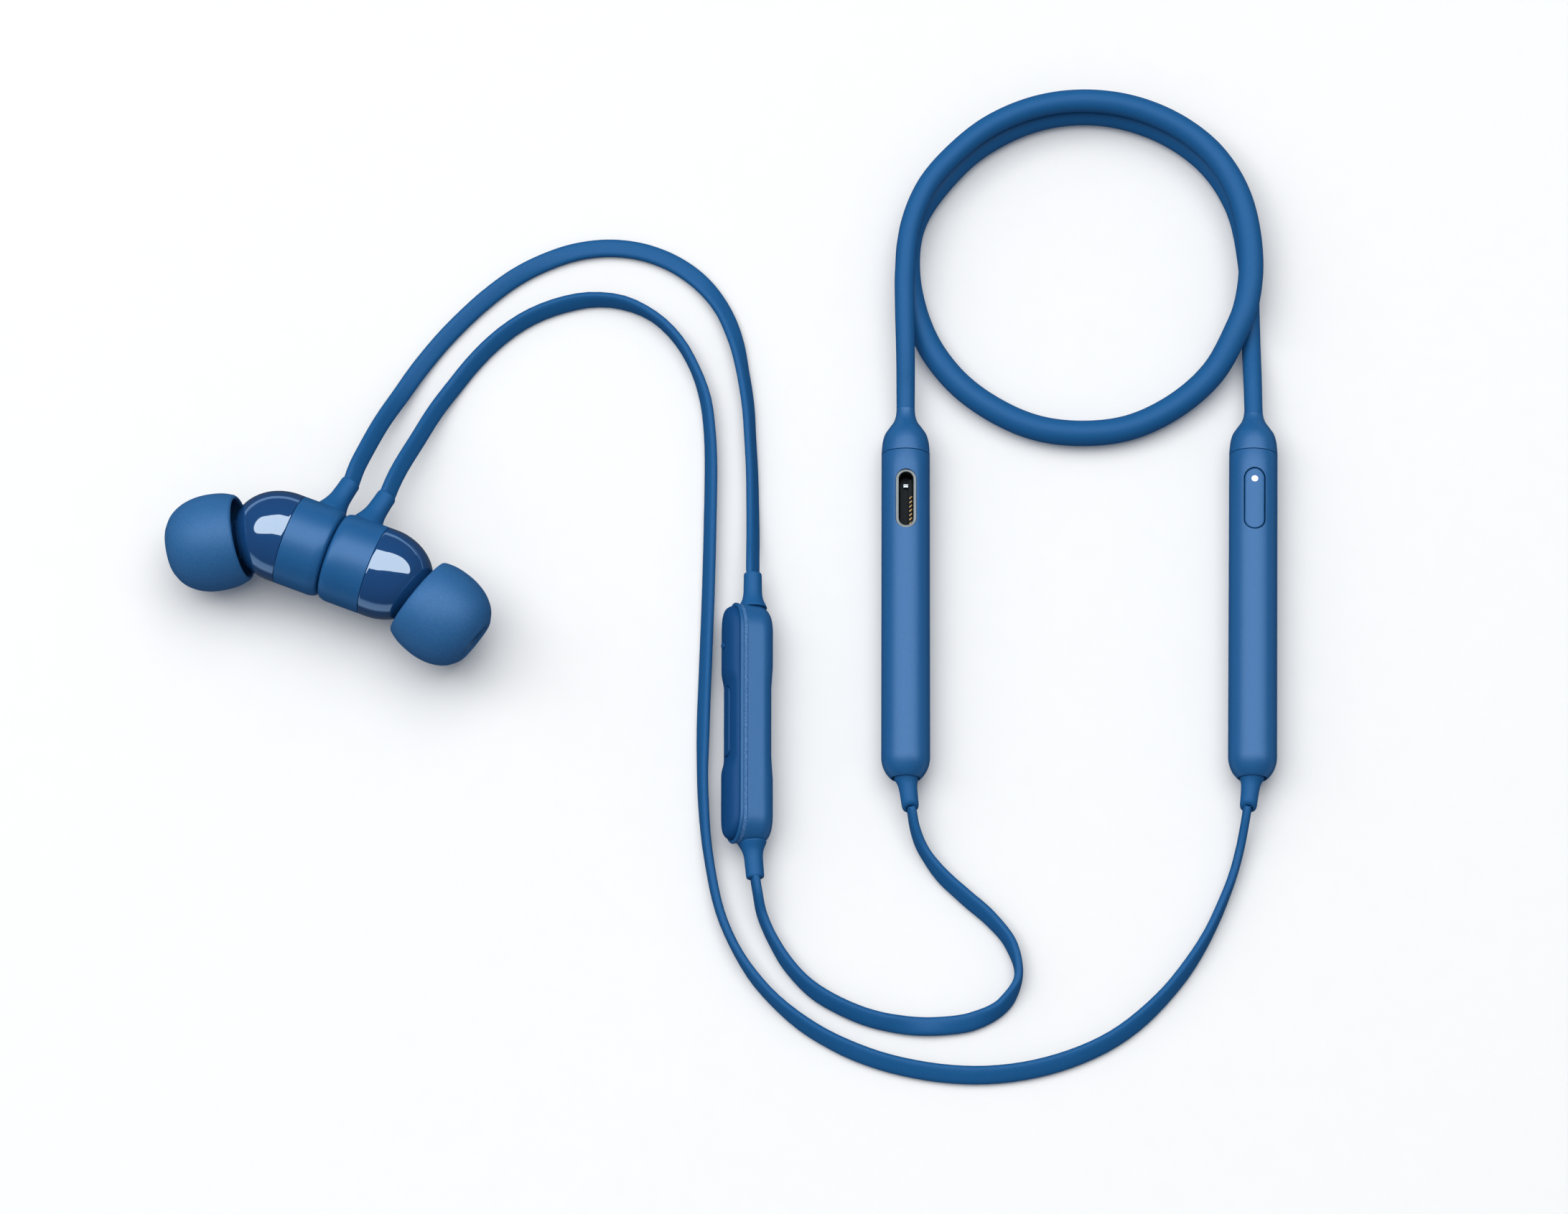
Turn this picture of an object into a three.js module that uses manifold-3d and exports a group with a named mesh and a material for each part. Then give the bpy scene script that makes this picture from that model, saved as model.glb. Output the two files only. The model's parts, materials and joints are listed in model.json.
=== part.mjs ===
// Neckband earphones: a memory-wire neck cable stored in one and a half turns, a capsule on each
// end of it, two flat ear leads with an inline remote, and two magnetic earbuds lying back to back.
// Millimetres, +Z up. The object lies on the plane z = 0, +Y points to the closed end of the loop.

import * as THREE from 'three';
import { mergeVertices } from 'three/addons/utils/BufferGeometryUtils.js';
import Module from 'manifold-3d';

const wasm = await Module();
wasm.setup();

// ---------------------------------------------------------------- driving dimensions

// Capsules (the two rigid modules on the ends of the neck cable)
const CAPSULE_RADIUS = 3.25;
const CAPSULE_WALL = 0.6;
const CAPSULE_SIDES = 24;
const CAPSULE_STRAIGHT = 42.3; // seam to the start of the rounded end
const CAPSULE_DOME = 3.75; // depth of the full rounded end
const TAIL_HOLE_RADIUS = 1.95;
const CAPSULE_HEIGHT = CAPSULE_RADIUS * Math.cos(Math.PI / CAPSULE_SIDES); // axis above the floor
const SEAM_GAP = 0.15;
const NECK_BOOT_LENGTH = 6.39;
const WIRE_BORE_RADIUS = 0.62;
const TAIL_PIVOT = -44;

const LEFT_CAPSULE = { x: 24.45, y: 3.03, turn: -0.34, tailLean: 7 };
const RIGHT_CAPSULE = { x: 71.28, y: 3.03, turn: -1.43, tailLean: -6 };

// Charging port and power button, both centred this far below the seam
const FITTING_Y = -7.04;
const PORT = { width: 2.76, length: 8.3, openWidth: 2.0, openLength: 7.6, top: 3.05, bottom: -1.9 };
const CONTACT_PITCH = 0.6;
const CONTACT_COUNT = 7;
const BUTTON = { width: 2.66, length: 8.5, bottom: 1.65 };
const BUTTON_CLEARANCE = 0.18;
const LIGHT_RADIUS = 0.46;
const LIGHT_OFFSET = 2.75; // from the button's centre towards the seam

// Neck cable
const NECK_END_RADIUS = 1.225;
const NECK_SWELL = 0.5; // extra radius at mid-length
const NECK_STEPS = 60;
const MEMORY_WIRE_RADIUS = 0.4;

// Flat ear leads
const LEAD_WIDTH = 2.4;
const LEAD_THICKNESS = 1.1;

// Inline remote, lying on its side and rolled about its length. Depths are measured from the
// axis of its leads, + towards its back.
const REMOTE = { x: 3.88, y: -34.74, z: 3.05, roll: 22, halfWidth: 3, halfLength: 16.65, end: 4 };
const REMOTE_BACK = 2.42;
const REMOTE_SPLIT = -1.78;
const REMOTE_BEZEL_BACK = -2.38;
const REMOTE_BEZEL_FRONT = -2.8;
const REMOTE_ROUND = 2.2;
const REMOTE_WALL = 0.7;
const REMOTE_BOARD_FRONT = -0.14;
const KEY_GAP = 0.12;
const KEY_BACK = -2.2;
const KEY_PLUNGER_END = -0.72;
const PAD = { halfWidth: 2.28, halfLength: 15.9, end: 3.4, crown: 1.35, waist: 0.85, reach: 11.1 };
const CENTRE_KEY = { width: 1.8, length: 9.6, front: -3.8 };

// Earbuds: the barrel axis is level, and both share one junction
const JUNCTION = { x: -52.1, y: -12.7, z: 8.2 };
const BARREL_TURN = 69.02; // degrees from +Y to the left bud's outward direction
const BUD_RADIUS = 6.1;
const CUP_BACK = 0.05;
const CUP_FRONT = 5.95;
const DOME_BACK = 6.1;
const NOZZLE_ROOT = 9;
const NOZZLE_RADIUS = 2.5;
const NOZZLE_LENGTH = 11;
const TIP_START = 3.8; // base of the ear tip, measured along the nozzle
const LEFT_NOZZLE = { tilt: 30.3, roll: 25 };
const RIGHT_NOZZLE = { tilt: 18.7, roll: 20 };
const BOOT_LEAN = new THREE.Vector3(1, -0.16, -0.12);
const BOOT_END = 10.8;

// ---------------------------------------------------------------- materials

function finish(color, roughness, metalness = 0) {
  return new THREE.MeshStandardMaterial({ color, roughness, metalness });
}

const SOFT_TOUCH = finish(0x23568d, 0.5);
const SILICONE = finish(0x2a5f98, 0.6);
const GLOSS = finish(0x12365f, 0.08);
const TIP_SILICONE = finish(0x2b629c, 0.7);
const CABLE = finish(0x27609c, 0.45);
const KEYPAD = finish(0x173f6c, 0.6);
const BRIGHT_METAL = finish(0xc8c8c6, 0.3, 1);
const BLACK_PLASTIC = finish(0x101012, 0.5);
const GOLD = finish(0xc79a4b, 0.3, 1);
const LIGHT_PIPE = finish(0xf2f4f6, 0.3);
const STEEL = finish(0x9aa0a6, 0.35, 1);
const BOARD = finish(0x1f5a3a, 0.6);
const BATTERY_WRAP = finish(0x8d9299, 0.4, 0.6);

// ---------------------------------------------------------------- shared helpers

const degrees = THREE.MathUtils.degToRad;

/** Turns a closed geometry into a manifold solid. */
function solid(geometry) {
  const bare = geometry.clone();
  bare.deleteAttribute('normal');
  bare.deleteAttribute('uv');
  const merged = mergeVertices(bare, 1e-4);
  const mesh = new wasm.Mesh({
    numProp: 3,
    vertProperties: Float32Array.from(merged.attributes.position.array),
    triVerts: Uint32Array.from(merged.index.array),
  });
  return new wasm.Manifold(mesh);
}

/** Gives a manifold solid back as a three.js geometry. */
function geometryOf(shape) {
  const mesh = shape.getMesh();
  const geometry = new THREE.BufferGeometry();
  geometry.setAttribute('position', new THREE.BufferAttribute(mesh.vertProperties, 3));
  geometry.setIndex(new THREE.BufferAttribute(mesh.triVerts, 1));
  geometry.computeVertexNormals();
  return geometry;
}

/** Turns a list of [radius, y] about the Y axis. The list runs from low y to high y outside. */
function turned(profile, sides = 24) {
  const points = profile.map(([radius, y]) => new THREE.Vector2(radius, y));
  return new THREE.LatheGeometry(points, sides, Math.PI / sides, Math.PI * 2);
}

/** A solid cylinder on the Y axis between two heights. */
function rod(radius, from, to, sides = 24) {
  return turned([[0, from], [radius, from], [radius, to], [0, to]], sides);
}

/** A hollow cylinder on the Y axis between two heights. */
function sleeve(outer, inner, from, to, sides = 20) {
  return turned([[inner, from], [outer, from], [outer, to], [inner, to], [inner, from]], sides);
}

function box(width, length, height, x, y, z) {
  return new THREE.BoxGeometry(width, length, height).translate(x, y, z);
}

/** A rounded rectangle outline, width along X and length along Y. */
function roundedOutline(width, length, corner) {
  const w = width / 2 - corner;
  const l = length / 2 - corner;
  const outline = new THREE.Shape();
  outline.absarc(w, l, corner, 0, Math.PI / 2);
  outline.absarc(-w, l, corner, Math.PI / 2, Math.PI);
  outline.absarc(-w, -l, corner, Math.PI, Math.PI * 1.5);
  outline.absarc(w, -l, corner, Math.PI * 1.5, Math.PI * 2);
  return outline;
}

/** A rounded rectangle outline extruded along Z between two heights, with an optional hole. */
function slab(outline, from, to, hole = null, segments = 2) {
  const shape = outline.clone();
  if (hole) shape.holes.push(hole);
  const options = { depth: to - from, bevelEnabled: false, curveSegments: segments };
  return new THREE.ExtrudeGeometry(shape, options).translate(0, 0, from);
}

function stadium(width, length) {
  return roundedOutline(width, length, width / 2 - 0.001);
}

/** Names a mesh, and places it in its group. */
function piece(group, name, geometry, material) {
  const mesh = new THREE.Mesh(geometry, material);
  mesh.name = name;
  group.add(mesh);
  return mesh;
}

function placed(parent, x, y, z) {
  const group = new THREE.Group();
  group.position.set(x, y, z);
  parent.add(group);
  return group;
}

// ---------------------------------------------------------------- capsules

/** Half an arc of the rounded end, as [radius, y], from the straight wall to the tail hole. */
function domeArc(radius, depth, steps) {
  const last = Math.acos(TAIL_HOLE_RADIUS / radius);
  const arc = [];
  for (let i = 0; i <= steps; i += 1) {
    const angle = (last * i) / steps;
    arc.push([radius * Math.cos(angle), -CAPSULE_STRAIGHT - depth * Math.sin(angle)]);
  }
  return arc;
}

function capsuleShell() {
  const inner = CAPSULE_RADIUS - CAPSULE_WALL;
  const outside = domeArc(CAPSULE_RADIUS, CAPSULE_DOME, 3).reverse();
  const inside = domeArc(inner, CAPSULE_DOME - CAPSULE_WALL, 2);
  const profile = [...outside, [CAPSULE_RADIUS, 0], [inner, 0], ...inside, outside[0]];
  return solid(turned(profile, CAPSULE_SIDES));
}

/** The shoulder between the seam and the neck cable, with a plug that fits inside the shell. */
function neckBoot() {
  const profile = [
    [WIRE_BORE_RADIUS, -0.7],
    [2.4, -0.7],
    [2.4, SEAM_GAP],
    [CAPSULE_RADIUS, SEAM_GAP],
    [3.2, 1.0],
    [3.07, 2.05],
    [2.79, 2.95],
    [2.2, 3.85],
    [1.6, 4.75],
    [1.4, 5.6],
    [1.35, NECK_BOOT_LENGTH],
    [WIRE_BORE_RADIUS, NECK_BOOT_LENGTH],
    [WIRE_BORE_RADIUS, -0.7],
  ];
  return turned(profile, CAPSULE_SIDES);
}

/** The strain relief of the ear lead: a flange inside the shell and a tapered tail outside. */
function tailBoot() {
  const profile = [
    [0, -5.5],
    [0.9, -5.5],
    [1.08, -5.2],
    [1.14, -3.6],
    [1.25, -2.5],
    [1.55, -1.7],
    [1.66, -1.2],
    [1.66, -0.25],
    [2.0, 0],
    [2.0, 0.7],
    [0, 0.7],
  ];
  return turned(profile, 16);
}

function capsuleGroup(parent, side, place) {
  const group = placed(parent, place.x, place.y, CAPSULE_HEIGHT);
  group.rotation.z = degrees(place.turn);
  piece(group, `${side}_neck_boot`, neckBoot(), SOFT_TOUCH);
  const tail = placed(group, 0, TAIL_PIVOT, 0);
  tail.rotation.z = degrees(place.tailLean);
  piece(tail, `${side}_tail_boot`, tailBoot(), SILICONE);
  piece(group, `${side}_wire_crimp`, sleeve(1.1, WIRE_BORE_RADIUS, -2.5, -0.95, 12), STEEL);
  return group;
}

/** Spring contacts side by side on one bar. */
function contactComb() {
  const first = 0.5;
  const last = first - CONTACT_PITCH * (CONTACT_COUNT - 1);
  const length = first - last + 0.3;
  let comb = solid(box(0.2, length, 0.3, 0.2, (first + last) / 2, -0.35));
  for (let i = 0; i < CONTACT_COUNT; i += 1) {
    comb = comb.add(solid(box(0.2, 0.3, 2.2, 0.2, first - i * CONTACT_PITCH, 0.75)));
  }
  return geometryOf(comb);
}

function leftCapsule(parent) {
  const group = capsuleGroup(parent, 'left', LEFT_CAPSULE);
  const mouth = slab(stadium(PORT.width + 0.24, PORT.length + 0.24), 0.5, 4).translate(0, FITTING_Y, 0);
  piece(group, 'left_capsule_shell', geometryOf(capsuleShell().subtract(solid(mouth))), SOFT_TOUCH);

  const port = placed(group, 0, FITTING_Y, 0);
  const opening = stadium(PORT.openWidth, PORT.openLength);
  const ring = slab(stadium(PORT.width, PORT.length), PORT.bottom, PORT.top, opening, 3);
  piece(port, 'charge_port_shell', ring, BRIGHT_METAL);
  const base = slab(stadium(1.7, 7.3), -1.8, -0.6);
  const ledge = box(0.45, 6.2, 2.4, 0.6, 0, 0.55);
  piece(port, 'charge_port_insert', geometryOf(solid(base).add(solid(ledge))), BLACK_PLASTIC);
  piece(port, 'charge_port_contacts', contactComb(), GOLD);

  piece(group, 'charger_board', box(4.6, 8.2, 0.6, 0, -16.2, 0), BOARD);
  piece(group, 'battery_cell', rod(2.3, -41.4, -21.2, 20), BATTERY_WRAP);
}

function rightCapsule(parent) {
  const group = capsuleGroup(parent, 'right', RIGHT_CAPSULE);
  const wide = BUTTON.width + 2 * BUTTON_CLEARANCE;
  const long = BUTTON.length + 2 * BUTTON_CLEARANCE;
  const mouth = slab(stadium(wide, long), 0.5, 4).translate(0, FITTING_Y, 0);
  piece(group, 'right_capsule_shell', geometryOf(capsuleShell().subtract(solid(mouth))), SOFT_TOUCH);

  const key = slab(stadium(BUTTON.width, BUTTON.length), BUTTON.bottom, 4, null, 3).translate(0, FITTING_Y, 0);
  const crown = rod(CAPSULE_RADIUS - 0.04, -14, 0, CAPSULE_SIDES);
  const lightY = FITTING_Y + LIGHT_OFFSET;
  const pipe = new THREE.CylinderGeometry(LIGHT_RADIUS, LIGHT_RADIUS, 1.3, 16);
  pipe.rotateX(Math.PI / 2).translate(0, lightY, 2.5);
  const pipeHole = new THREE.CylinderGeometry(LIGHT_RADIUS + 0.1, LIGHT_RADIUS + 0.1, 3, 16);
  pipeHole.rotateX(Math.PI / 2).translate(0, lightY, 2.5);
  const button = solid(key).intersect(solid(crown)).subtract(solid(pipeHole));
  piece(group, 'power_button', geometryOf(button), SOFT_TOUCH);
  piece(group, 'status_light', pipe, LIGHT_PIPE);

  piece(group, 'main_board', box(4.5, 36, 0.6, 0, -22.3, 0), BOARD);
  piece(group, 'power_switch', box(3, 3, 0.8, 0, FITTING_Y, 0.75), STEEL);
  piece(group, 'shield_can', box(3.4, 9, 1.3, 0, -30, 1.0), STEEL);
}

// ---------------------------------------------------------------- neck cable

const NECK_ROUTE = [
  [24.49, 9.75, 3.24],
  [24.5, 12.5, 3.45],
  [24.5, 16, 4.2],
  [24.45, 20, 4.75],
  [24.4, 24, 4.85],
  [24.45, 29, 4.85],
  [25.3, 35.9, 4.85],
  [27.6, 41.6, 4.8],
  [31.3, 46.2, 4.75],
  [36.2, 50.3, 4.75],
  [42.4, 53.1, 4.75],
  [48.9, 54.05, 4.75],
  [55.6, 53.2, 4.7],
  [61.9, 50.4, 4.65],
  [66.9, 46, 4.6],
  [70.2, 39.8, 4.6],
  [71.5, 31, 4.6],
  [70.7, 24.3, 4.5],
  [69.3, 20.7, 4.0],
  [66.3, 15.4, 2.8],
  [61.5, 11, 2.1],
  [55, 7.7, 1.8],
  [48.4, 6.8, 1.75],
  [42, 7.65, 1.75],
  [36, 10.5, 1.75],
  [31, 14.7, 1.72],
  [27, 21, 1.7],
  [24.95, 30, 1.7],
  [26, 37.6, 1.68],
  [31.7, 45.7, 1.64],
  [36.5, 49.6, 1.6],
  [42.5, 52.4, 1.57],
  [48.9, 53.4, 1.55],
  [55.4, 52.5, 1.53],
  [61.6, 49.7, 1.5],
  [66.5, 45.4, 1.46],
  [69.9, 39.2, 1.43],
  [71.3, 31, 1.42],
  [71.42, 24, 1.45],
  [71.45, 19, 1.75],
  [71.46, 14, 2.75],
  [71.44, 9.75, 3.24],
];

function curveThrough(route) {
  const points = route.map(([x, y, z]) => new THREE.Vector3(x, y, z));
  return new THREE.CatmullRomCurve3(points, false, 'centripetal');
}

function polygon(radius, sides) {
  const points = [];
  for (let i = 0; i < sides; i += 1) {
    const angle = ((i + 0.5) / sides) * Math.PI * 2;
    points.push(new THREE.Vector2(radius * Math.cos(angle), radius * Math.sin(angle)));
  }
  return points;
}

function neckRadius(share) {
  return NECK_END_RADIUS + NECK_SWELL * Math.sin(Math.PI * share);
}

/** The jacket: a thin tube along the route, whose rings are then opened to the local radius. */
function neckJacket(path) {
  const thin = 0.4;
  const shape = new THREE.Shape(polygon(thin, 12));
  shape.holes.push(new THREE.Path(polygon(thin * 0.56, 6)));
  const options = { extrudePath: path, steps: NECK_STEPS, bevelEnabled: false };
  const geometry = new THREE.ExtrudeGeometry(shape, options);
  const stations = path.getSpacedPoints(NECK_STEPS);
  const position = geometry.attributes.position;
  const vertex = new THREE.Vector3();
  for (let i = 0; i < position.count; i += 1) {
    vertex.fromBufferAttribute(position, i);
    let nearest = 0;
    stations.forEach((station, k) => {
      if (station.distanceTo(vertex) < stations[nearest].distanceTo(vertex)) nearest = k;
    });
    const grow = neckRadius(nearest / NECK_STEPS) / thin;
    vertex.sub(stations[nearest]).multiplyScalar(grow).add(stations[nearest]);
    position.setXYZ(i, vertex.x, vertex.y, vertex.z);
  }
  return geometry;
}

/** The memory wire follows the jacket's own stations, and runs on into both capsules. */
function memoryWire(path) {
  const left = new THREE.Vector3(24.44, 1.2, CAPSULE_HEIGHT);
  const right = new THREE.Vector3(71.23, 1.2, CAPSULE_HEIGHT);
  const stations = path.getSpacedPoints(NECK_STEPS);
  const wirePath = new THREE.CatmullRomCurve3([left, ...stations, right], false, 'centripetal');
  const shape = new THREE.Shape(polygon(MEMORY_WIRE_RADIUS, 5));
  return new THREE.ExtrudeGeometry(shape, { extrudePath: wirePath, steps: 66, bevelEnabled: false });
}

function neckCable(parent) {
  const path = curveThrough(NECK_ROUTE);
  piece(parent, 'neckband_jacket', neckJacket(path), SILICONE);
  piece(parent, 'memory_wire', memoryWire(path), STEEL);
}

// ---------------------------------------------------------------- ear leads

const UPPER_LEAD_ROUTE = [
  [-49.85, -1.9, 6.9],
  [-49.2, 0.3, 6.5],
  [-48.2, 2.9, 5.6],
  [-46.2, 7.7, 3.6],
  [-43.8, 12.2, 1.9],
  [-41.3, 16.4, 1.05],
  [-38.5, 20.2, 0.75],
  [-35.4, 23.7, 0.65],
  [-32.1, 26.9, 0.65],
  [-28.4, 29.8, 0.65],
  [-24.4, 32, 0.65],
  [-20.1, 33.5, 0.65],
  [-15.6, 34, 0.65],
  [-11.1, 33.4, 0.65],
  [-6.8, 31.6, 0.7],
  [-3.1, 28.7, 0.8],
  [-0.3, 24.9, 0.95],
  [1.5, 20.4, 1.1],
  [2.5, 15.7, 1.1],
  [3.2, 10.9, 1.1],
  [3.5, 6.2, 1.1],
  [3.75, 1.4, 1.1],
  [3.85, -3.4, 1.25],
  [3.9, -8.3, 1.9],
  [3.88, -11.4, 2.8],
  [3.88, -13.35, 3.05],
];

const RIGHT_LEAD_ROUTE = [
  [-45, -3.75, 6.9],
  [-44.3, -1.7, 6.5],
  [-43.4, 0.6, 5.7],
  [-41.3, 5.2, 3.7],
  [-39.1, 9.8, 2],
  [-36.5, 13.9, 1.1],
  [-33.7, 17.6, 0.8],
  [-30.5, 20.9, 0.7],
  [-26.8, 23.6, 0.7],
  [-22.7, 25.4, 0.7],
  [-18.3, 26.3, 0.7],
  [-13.9, 25.9, 0.8],
  [-9.7, 23.9, 1],
  [-6.4, 20.6, 1.15],
  [-4.1, 16.5, 1.2],
  [-2.6, 12, 1.2],
  [-2, 7.4, 1.15],
  [-1.8, 2.7, 1.1],
  [-1.9, -6.7, 1.05],
  [-2.1, -16, 1.05],
  [-2.4, -25.2, 1.05],
  [-2.7, -34.4, 1.05],
  [-2.7, -43.6, 1.1],
  [-1.9, -52.6, 1.2],
  [0.1, -61.4, 1.2],
  [4.3, -69.1, 1.1],
  [10.6, -75.2, 0.9],
  [18.3, -79.3, 0.75],
  [26.6, -81.5, 0.7],
  [35.2, -82, 0.7],
  [43.7, -80.5, 0.7],
  [51.6, -77, 0.75],
  [58.2, -71.3, 0.95],
  [63.4, -64.1, 1.1],
  [67.1, -55.9, 1.25],
  [68.3, -51.9, 1.5],
  [68.85, -49.4, 2.2],
  [69.33, -46.7, 3.2],
];

const LOWER_LEAD_ROUTE = [
  [4.29, -56.15, 3.05],
  [4.55, -57.7, 2.9],
  [5.1, -60.3, 1.7],
  [6.5, -63.6, 1.15],
  [8.8, -67.4, 1.05],
  [11.9, -70.6, 0.95],
  [15.7, -72.9, 0.9],
  [19.8, -74.5, 0.75],
  [24.1, -75.3, 0.7],
  [28.5, -75.4, 0.7],
  [32.8, -74.8, 0.75],
  [36.7, -72.8, 1],
  [38.9, -68.9, 1.2],
  [38, -64.5, 1.15],
  [35.3, -60.9, 1],
  [32, -57.9, 0.95],
  [28.8, -54.8, 1.1],
  [26.4, -51.4, 1.5],
  [25.4, -48.9, 2.4],
  [24.98, -46.75, 3.2],
];

/** A flat lead of eight sides, lying flat along its route. */
function flatLead(route, steps) {
  const w = LEAD_WIDTH / 2;
  const t = LEAD_THICKNESS / 2;
  const outline = [
    [t, w - t],
    [t * 0.4, w],
    [-t * 0.4, w],
    [-t, w - t],
    [-t, t - w],
    [-t * 0.4, -w],
    [t * 0.4, -w],
    [t, t - w],
  ].map(([x, y]) => new THREE.Vector2(x, y));
  const options = { extrudePath: curveThrough(route), steps, bevelEnabled: false };
  return new THREE.ExtrudeGeometry(new THREE.Shape(outline), options);
}

function earLeads(parent) {
  piece(parent, 'left_lead_upper', flatLead(UPPER_LEAD_ROUTE, 22), CABLE);
  piece(parent, 'left_lead_lower', flatLead(LOWER_LEAD_ROUTE, 20), CABLE);
  piece(parent, 'right_lead', flatLead(RIGHT_LEAD_ROUTE, 38), CABLE);
}

// ---------------------------------------------------------------- inline remote

/** Lays a shape made along Z into the remote: its depth runs along X, its width along Z. */
function inRemote(geometry) {
  return geometry.rotateY(Math.PI / 2);
}

/** The remote's outline, with half-ellipse ends, moved inwards by an inset. */
function remoteOutline(inset) {
  const middle = REMOTE.halfLength - REMOTE.end;
  const outline = new THREE.Shape();
  outline.absellipse(0, middle, REMOTE.halfWidth - inset, REMOTE.end - inset, 0, Math.PI);
  outline.absellipse(0, -middle, REMOTE.halfWidth - inset, REMOTE.end - inset, Math.PI, Math.PI * 2);
  return outline;
}

/** The back half's full outside, grown a little where something has to clear it. */
function remoteBody(grow = 0) {
  const r = REMOTE_ROUND;
  const depth = REMOTE_BACK + 4 - 2 * r;
  const options = { depth, bevelThickness: r, bevelSize: r, bevelSegments: 4, curveSegments: 7 };
  return new THREE.ExtrudeGeometry(remoteOutline(r - grow), options).translate(0, 0, r - 4);
}

function remoteBackShell() {
  const body = remoteBody();
  const front = box(10, 40, 6, 0, 0, REMOTE_SPLIT - 3);
  const cavity = slab(remoteOutline(REMOTE_WALL), REMOTE_SPLIT - 0.1, REMOTE_BACK - 1.5, null, 6);
  const lead = rod(0.95, -30, 30, 16);
  const shell = solid(body).subtract(solid(front)).subtract(solid(cavity)).subtract(solid(lead));
  return inRemote(geometryOf(shell));
}

/** A flat ring that follows the remote's outline. */
function remoteRing(outerInset, innerInset, from, to) {
  return inRemote(slab(remoteOutline(outerInset), from, to, remoteOutline(innerInset), 8));
}

/** Joins rings of the same number of points into a closed solid, with a fan on each end. */
function lofted(rings) {
  const count = rings[0].length;
  const indices = [];
  for (let i = 0; i < rings.length - 1; i += 1) {
    for (let k = 0; k < count; k += 1) {
      const a = i * count + k;
      const b = i * count + ((k + 1) % count);
      indices.push(a, b, b + count, a, b + count, a + count);
    }
  }
  const last = (rings.length - 1) * count;
  for (let k = 1; k < count - 1; k += 1) {
    indices.push(0, k + 1, k, last, last + k, last + k + 1);
  }
  const geometry = new THREE.BufferGeometry();
  const flat = rings.flat().flatMap((point) => [point.x, point.y, point.z]);
  geometry.setAttribute('position', new THREE.Float32BufferAttribute(flat, 3));
  geometry.setIndex(indices);
  return geometry;
}

/** The volume pad's crown: full at both ends and lower along its waist. */
function padCrown(y) {
  const share = THREE.MathUtils.smoothstep(Math.abs(y), 4.8, 7.2);
  const crown = THREE.MathUtils.lerp(PAD.waist, PAD.crown, share);
  const beyond = Math.max(0, Math.abs(y) - (PAD.halfLength - PAD.end)) / PAD.end;
  return crown * Math.sqrt(Math.max(0, 1 - beyond ** 2.5));
}

function padHalfWidth(y) {
  const beyond = Math.max(0, Math.abs(y) - (PAD.halfLength - PAD.end)) / PAD.end;
  return PAD.halfWidth * Math.sqrt(Math.max(0, 1 - beyond * beyond));
}

/** The plunger on the back of a key, above its dome. */
function keyPlunger(y) {
  const plunger = rod(0.8, 0, KEY_PLUNGER_END - KEY_BACK + 0.2, 12).rotateX(Math.PI / 2);
  return solid(plunger.translate(0, y, KEY_BACK - 0.2));
}

/** The pad over both volume domes, one piece that rocks about its middle. */
function volumePad() {
  const half = [0.4, 4.8, 5.6, 6.4, 7.2, 10, 12.5, 13.6, 14.5, 15.2, 15.6, 15.85];
  const stations = [...half.map((y) => -y).reverse(), ...half];
  const rings = stations.map((y) => {
    const a = padHalfWidth(y);
    const ring = [new THREE.Vector3(-a, y, KEY_BACK), new THREE.Vector3(a, y, KEY_BACK)];
    for (let i = 0; i <= 8; i += 1) {
      const angle = (Math.PI * i) / 8;
      const depth = REMOTE_BEZEL_FRONT - padCrown(y) * Math.sin(angle);
      ring.push(new THREE.Vector3(a * Math.cos(angle), y, depth));
    }
    return ring;
  });
  const width = CENTRE_KEY.width + 2 * KEY_GAP;
  const slot = slab(stadium(width, CENTRE_KEY.length + 2 * KEY_GAP), -6, 0, null, 4);
  let pad = solid(lofted(rings)).subtract(solid(slot));
  pad = pad.add(keyPlunger(PAD.reach)).add(keyPlunger(-PAD.reach));
  const nub = new THREE.SphereGeometry(0.35, 12, 8);
  pad = pad.add(solid(nub.translate(0, PAD.reach - 0.6, REMOTE_BEZEL_FRONT - PAD.crown)));
  return inRemote(geometryOf(pad));
}

/** The bar in the middle of the pad. */
function centreKey() {
  const bevel = 0.15;
  const core = stadium(CENTRE_KEY.width - 2 * bevel, CENTRE_KEY.length - 2 * bevel);
  const depth = KEY_BACK - CENTRE_KEY.front - 2 * bevel;
  const options = { depth, bevelThickness: bevel, bevelSize: bevel, bevelSegments: 1, curveSegments: 4 };
  const bar = new THREE.ExtrudeGeometry(core, options).translate(0, 0, CENTRE_KEY.front + bevel);
  return inRemote(geometryOf(solid(bar).add(keyPlunger(0))));
}

/** The boot around the lead at one end of the remote, turned about the lead's axis at that end. */
function remoteBoot(turn, end) {
  const flare = turned([
    [0, -1.5],
    [1.75, -1.5],
    [1.75, 0.1],
    [1.42, 1],
    [1.26, 2.6],
    [1.2, 4.3],
    [1, 4.6],
    [0, 4.6],
  ], 16);
  const stub = rod(0.7, -1.3, 1, 16);
  const outside = solid(flare.rotateZ(turn).translate(0, end, 0));
  const clear = solid(inRemote(remoteBody(0.02)));
  return geometryOf(outside.subtract(clear).add(solid(stub.rotateZ(turn).translate(0, end, 0))));
}

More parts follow.
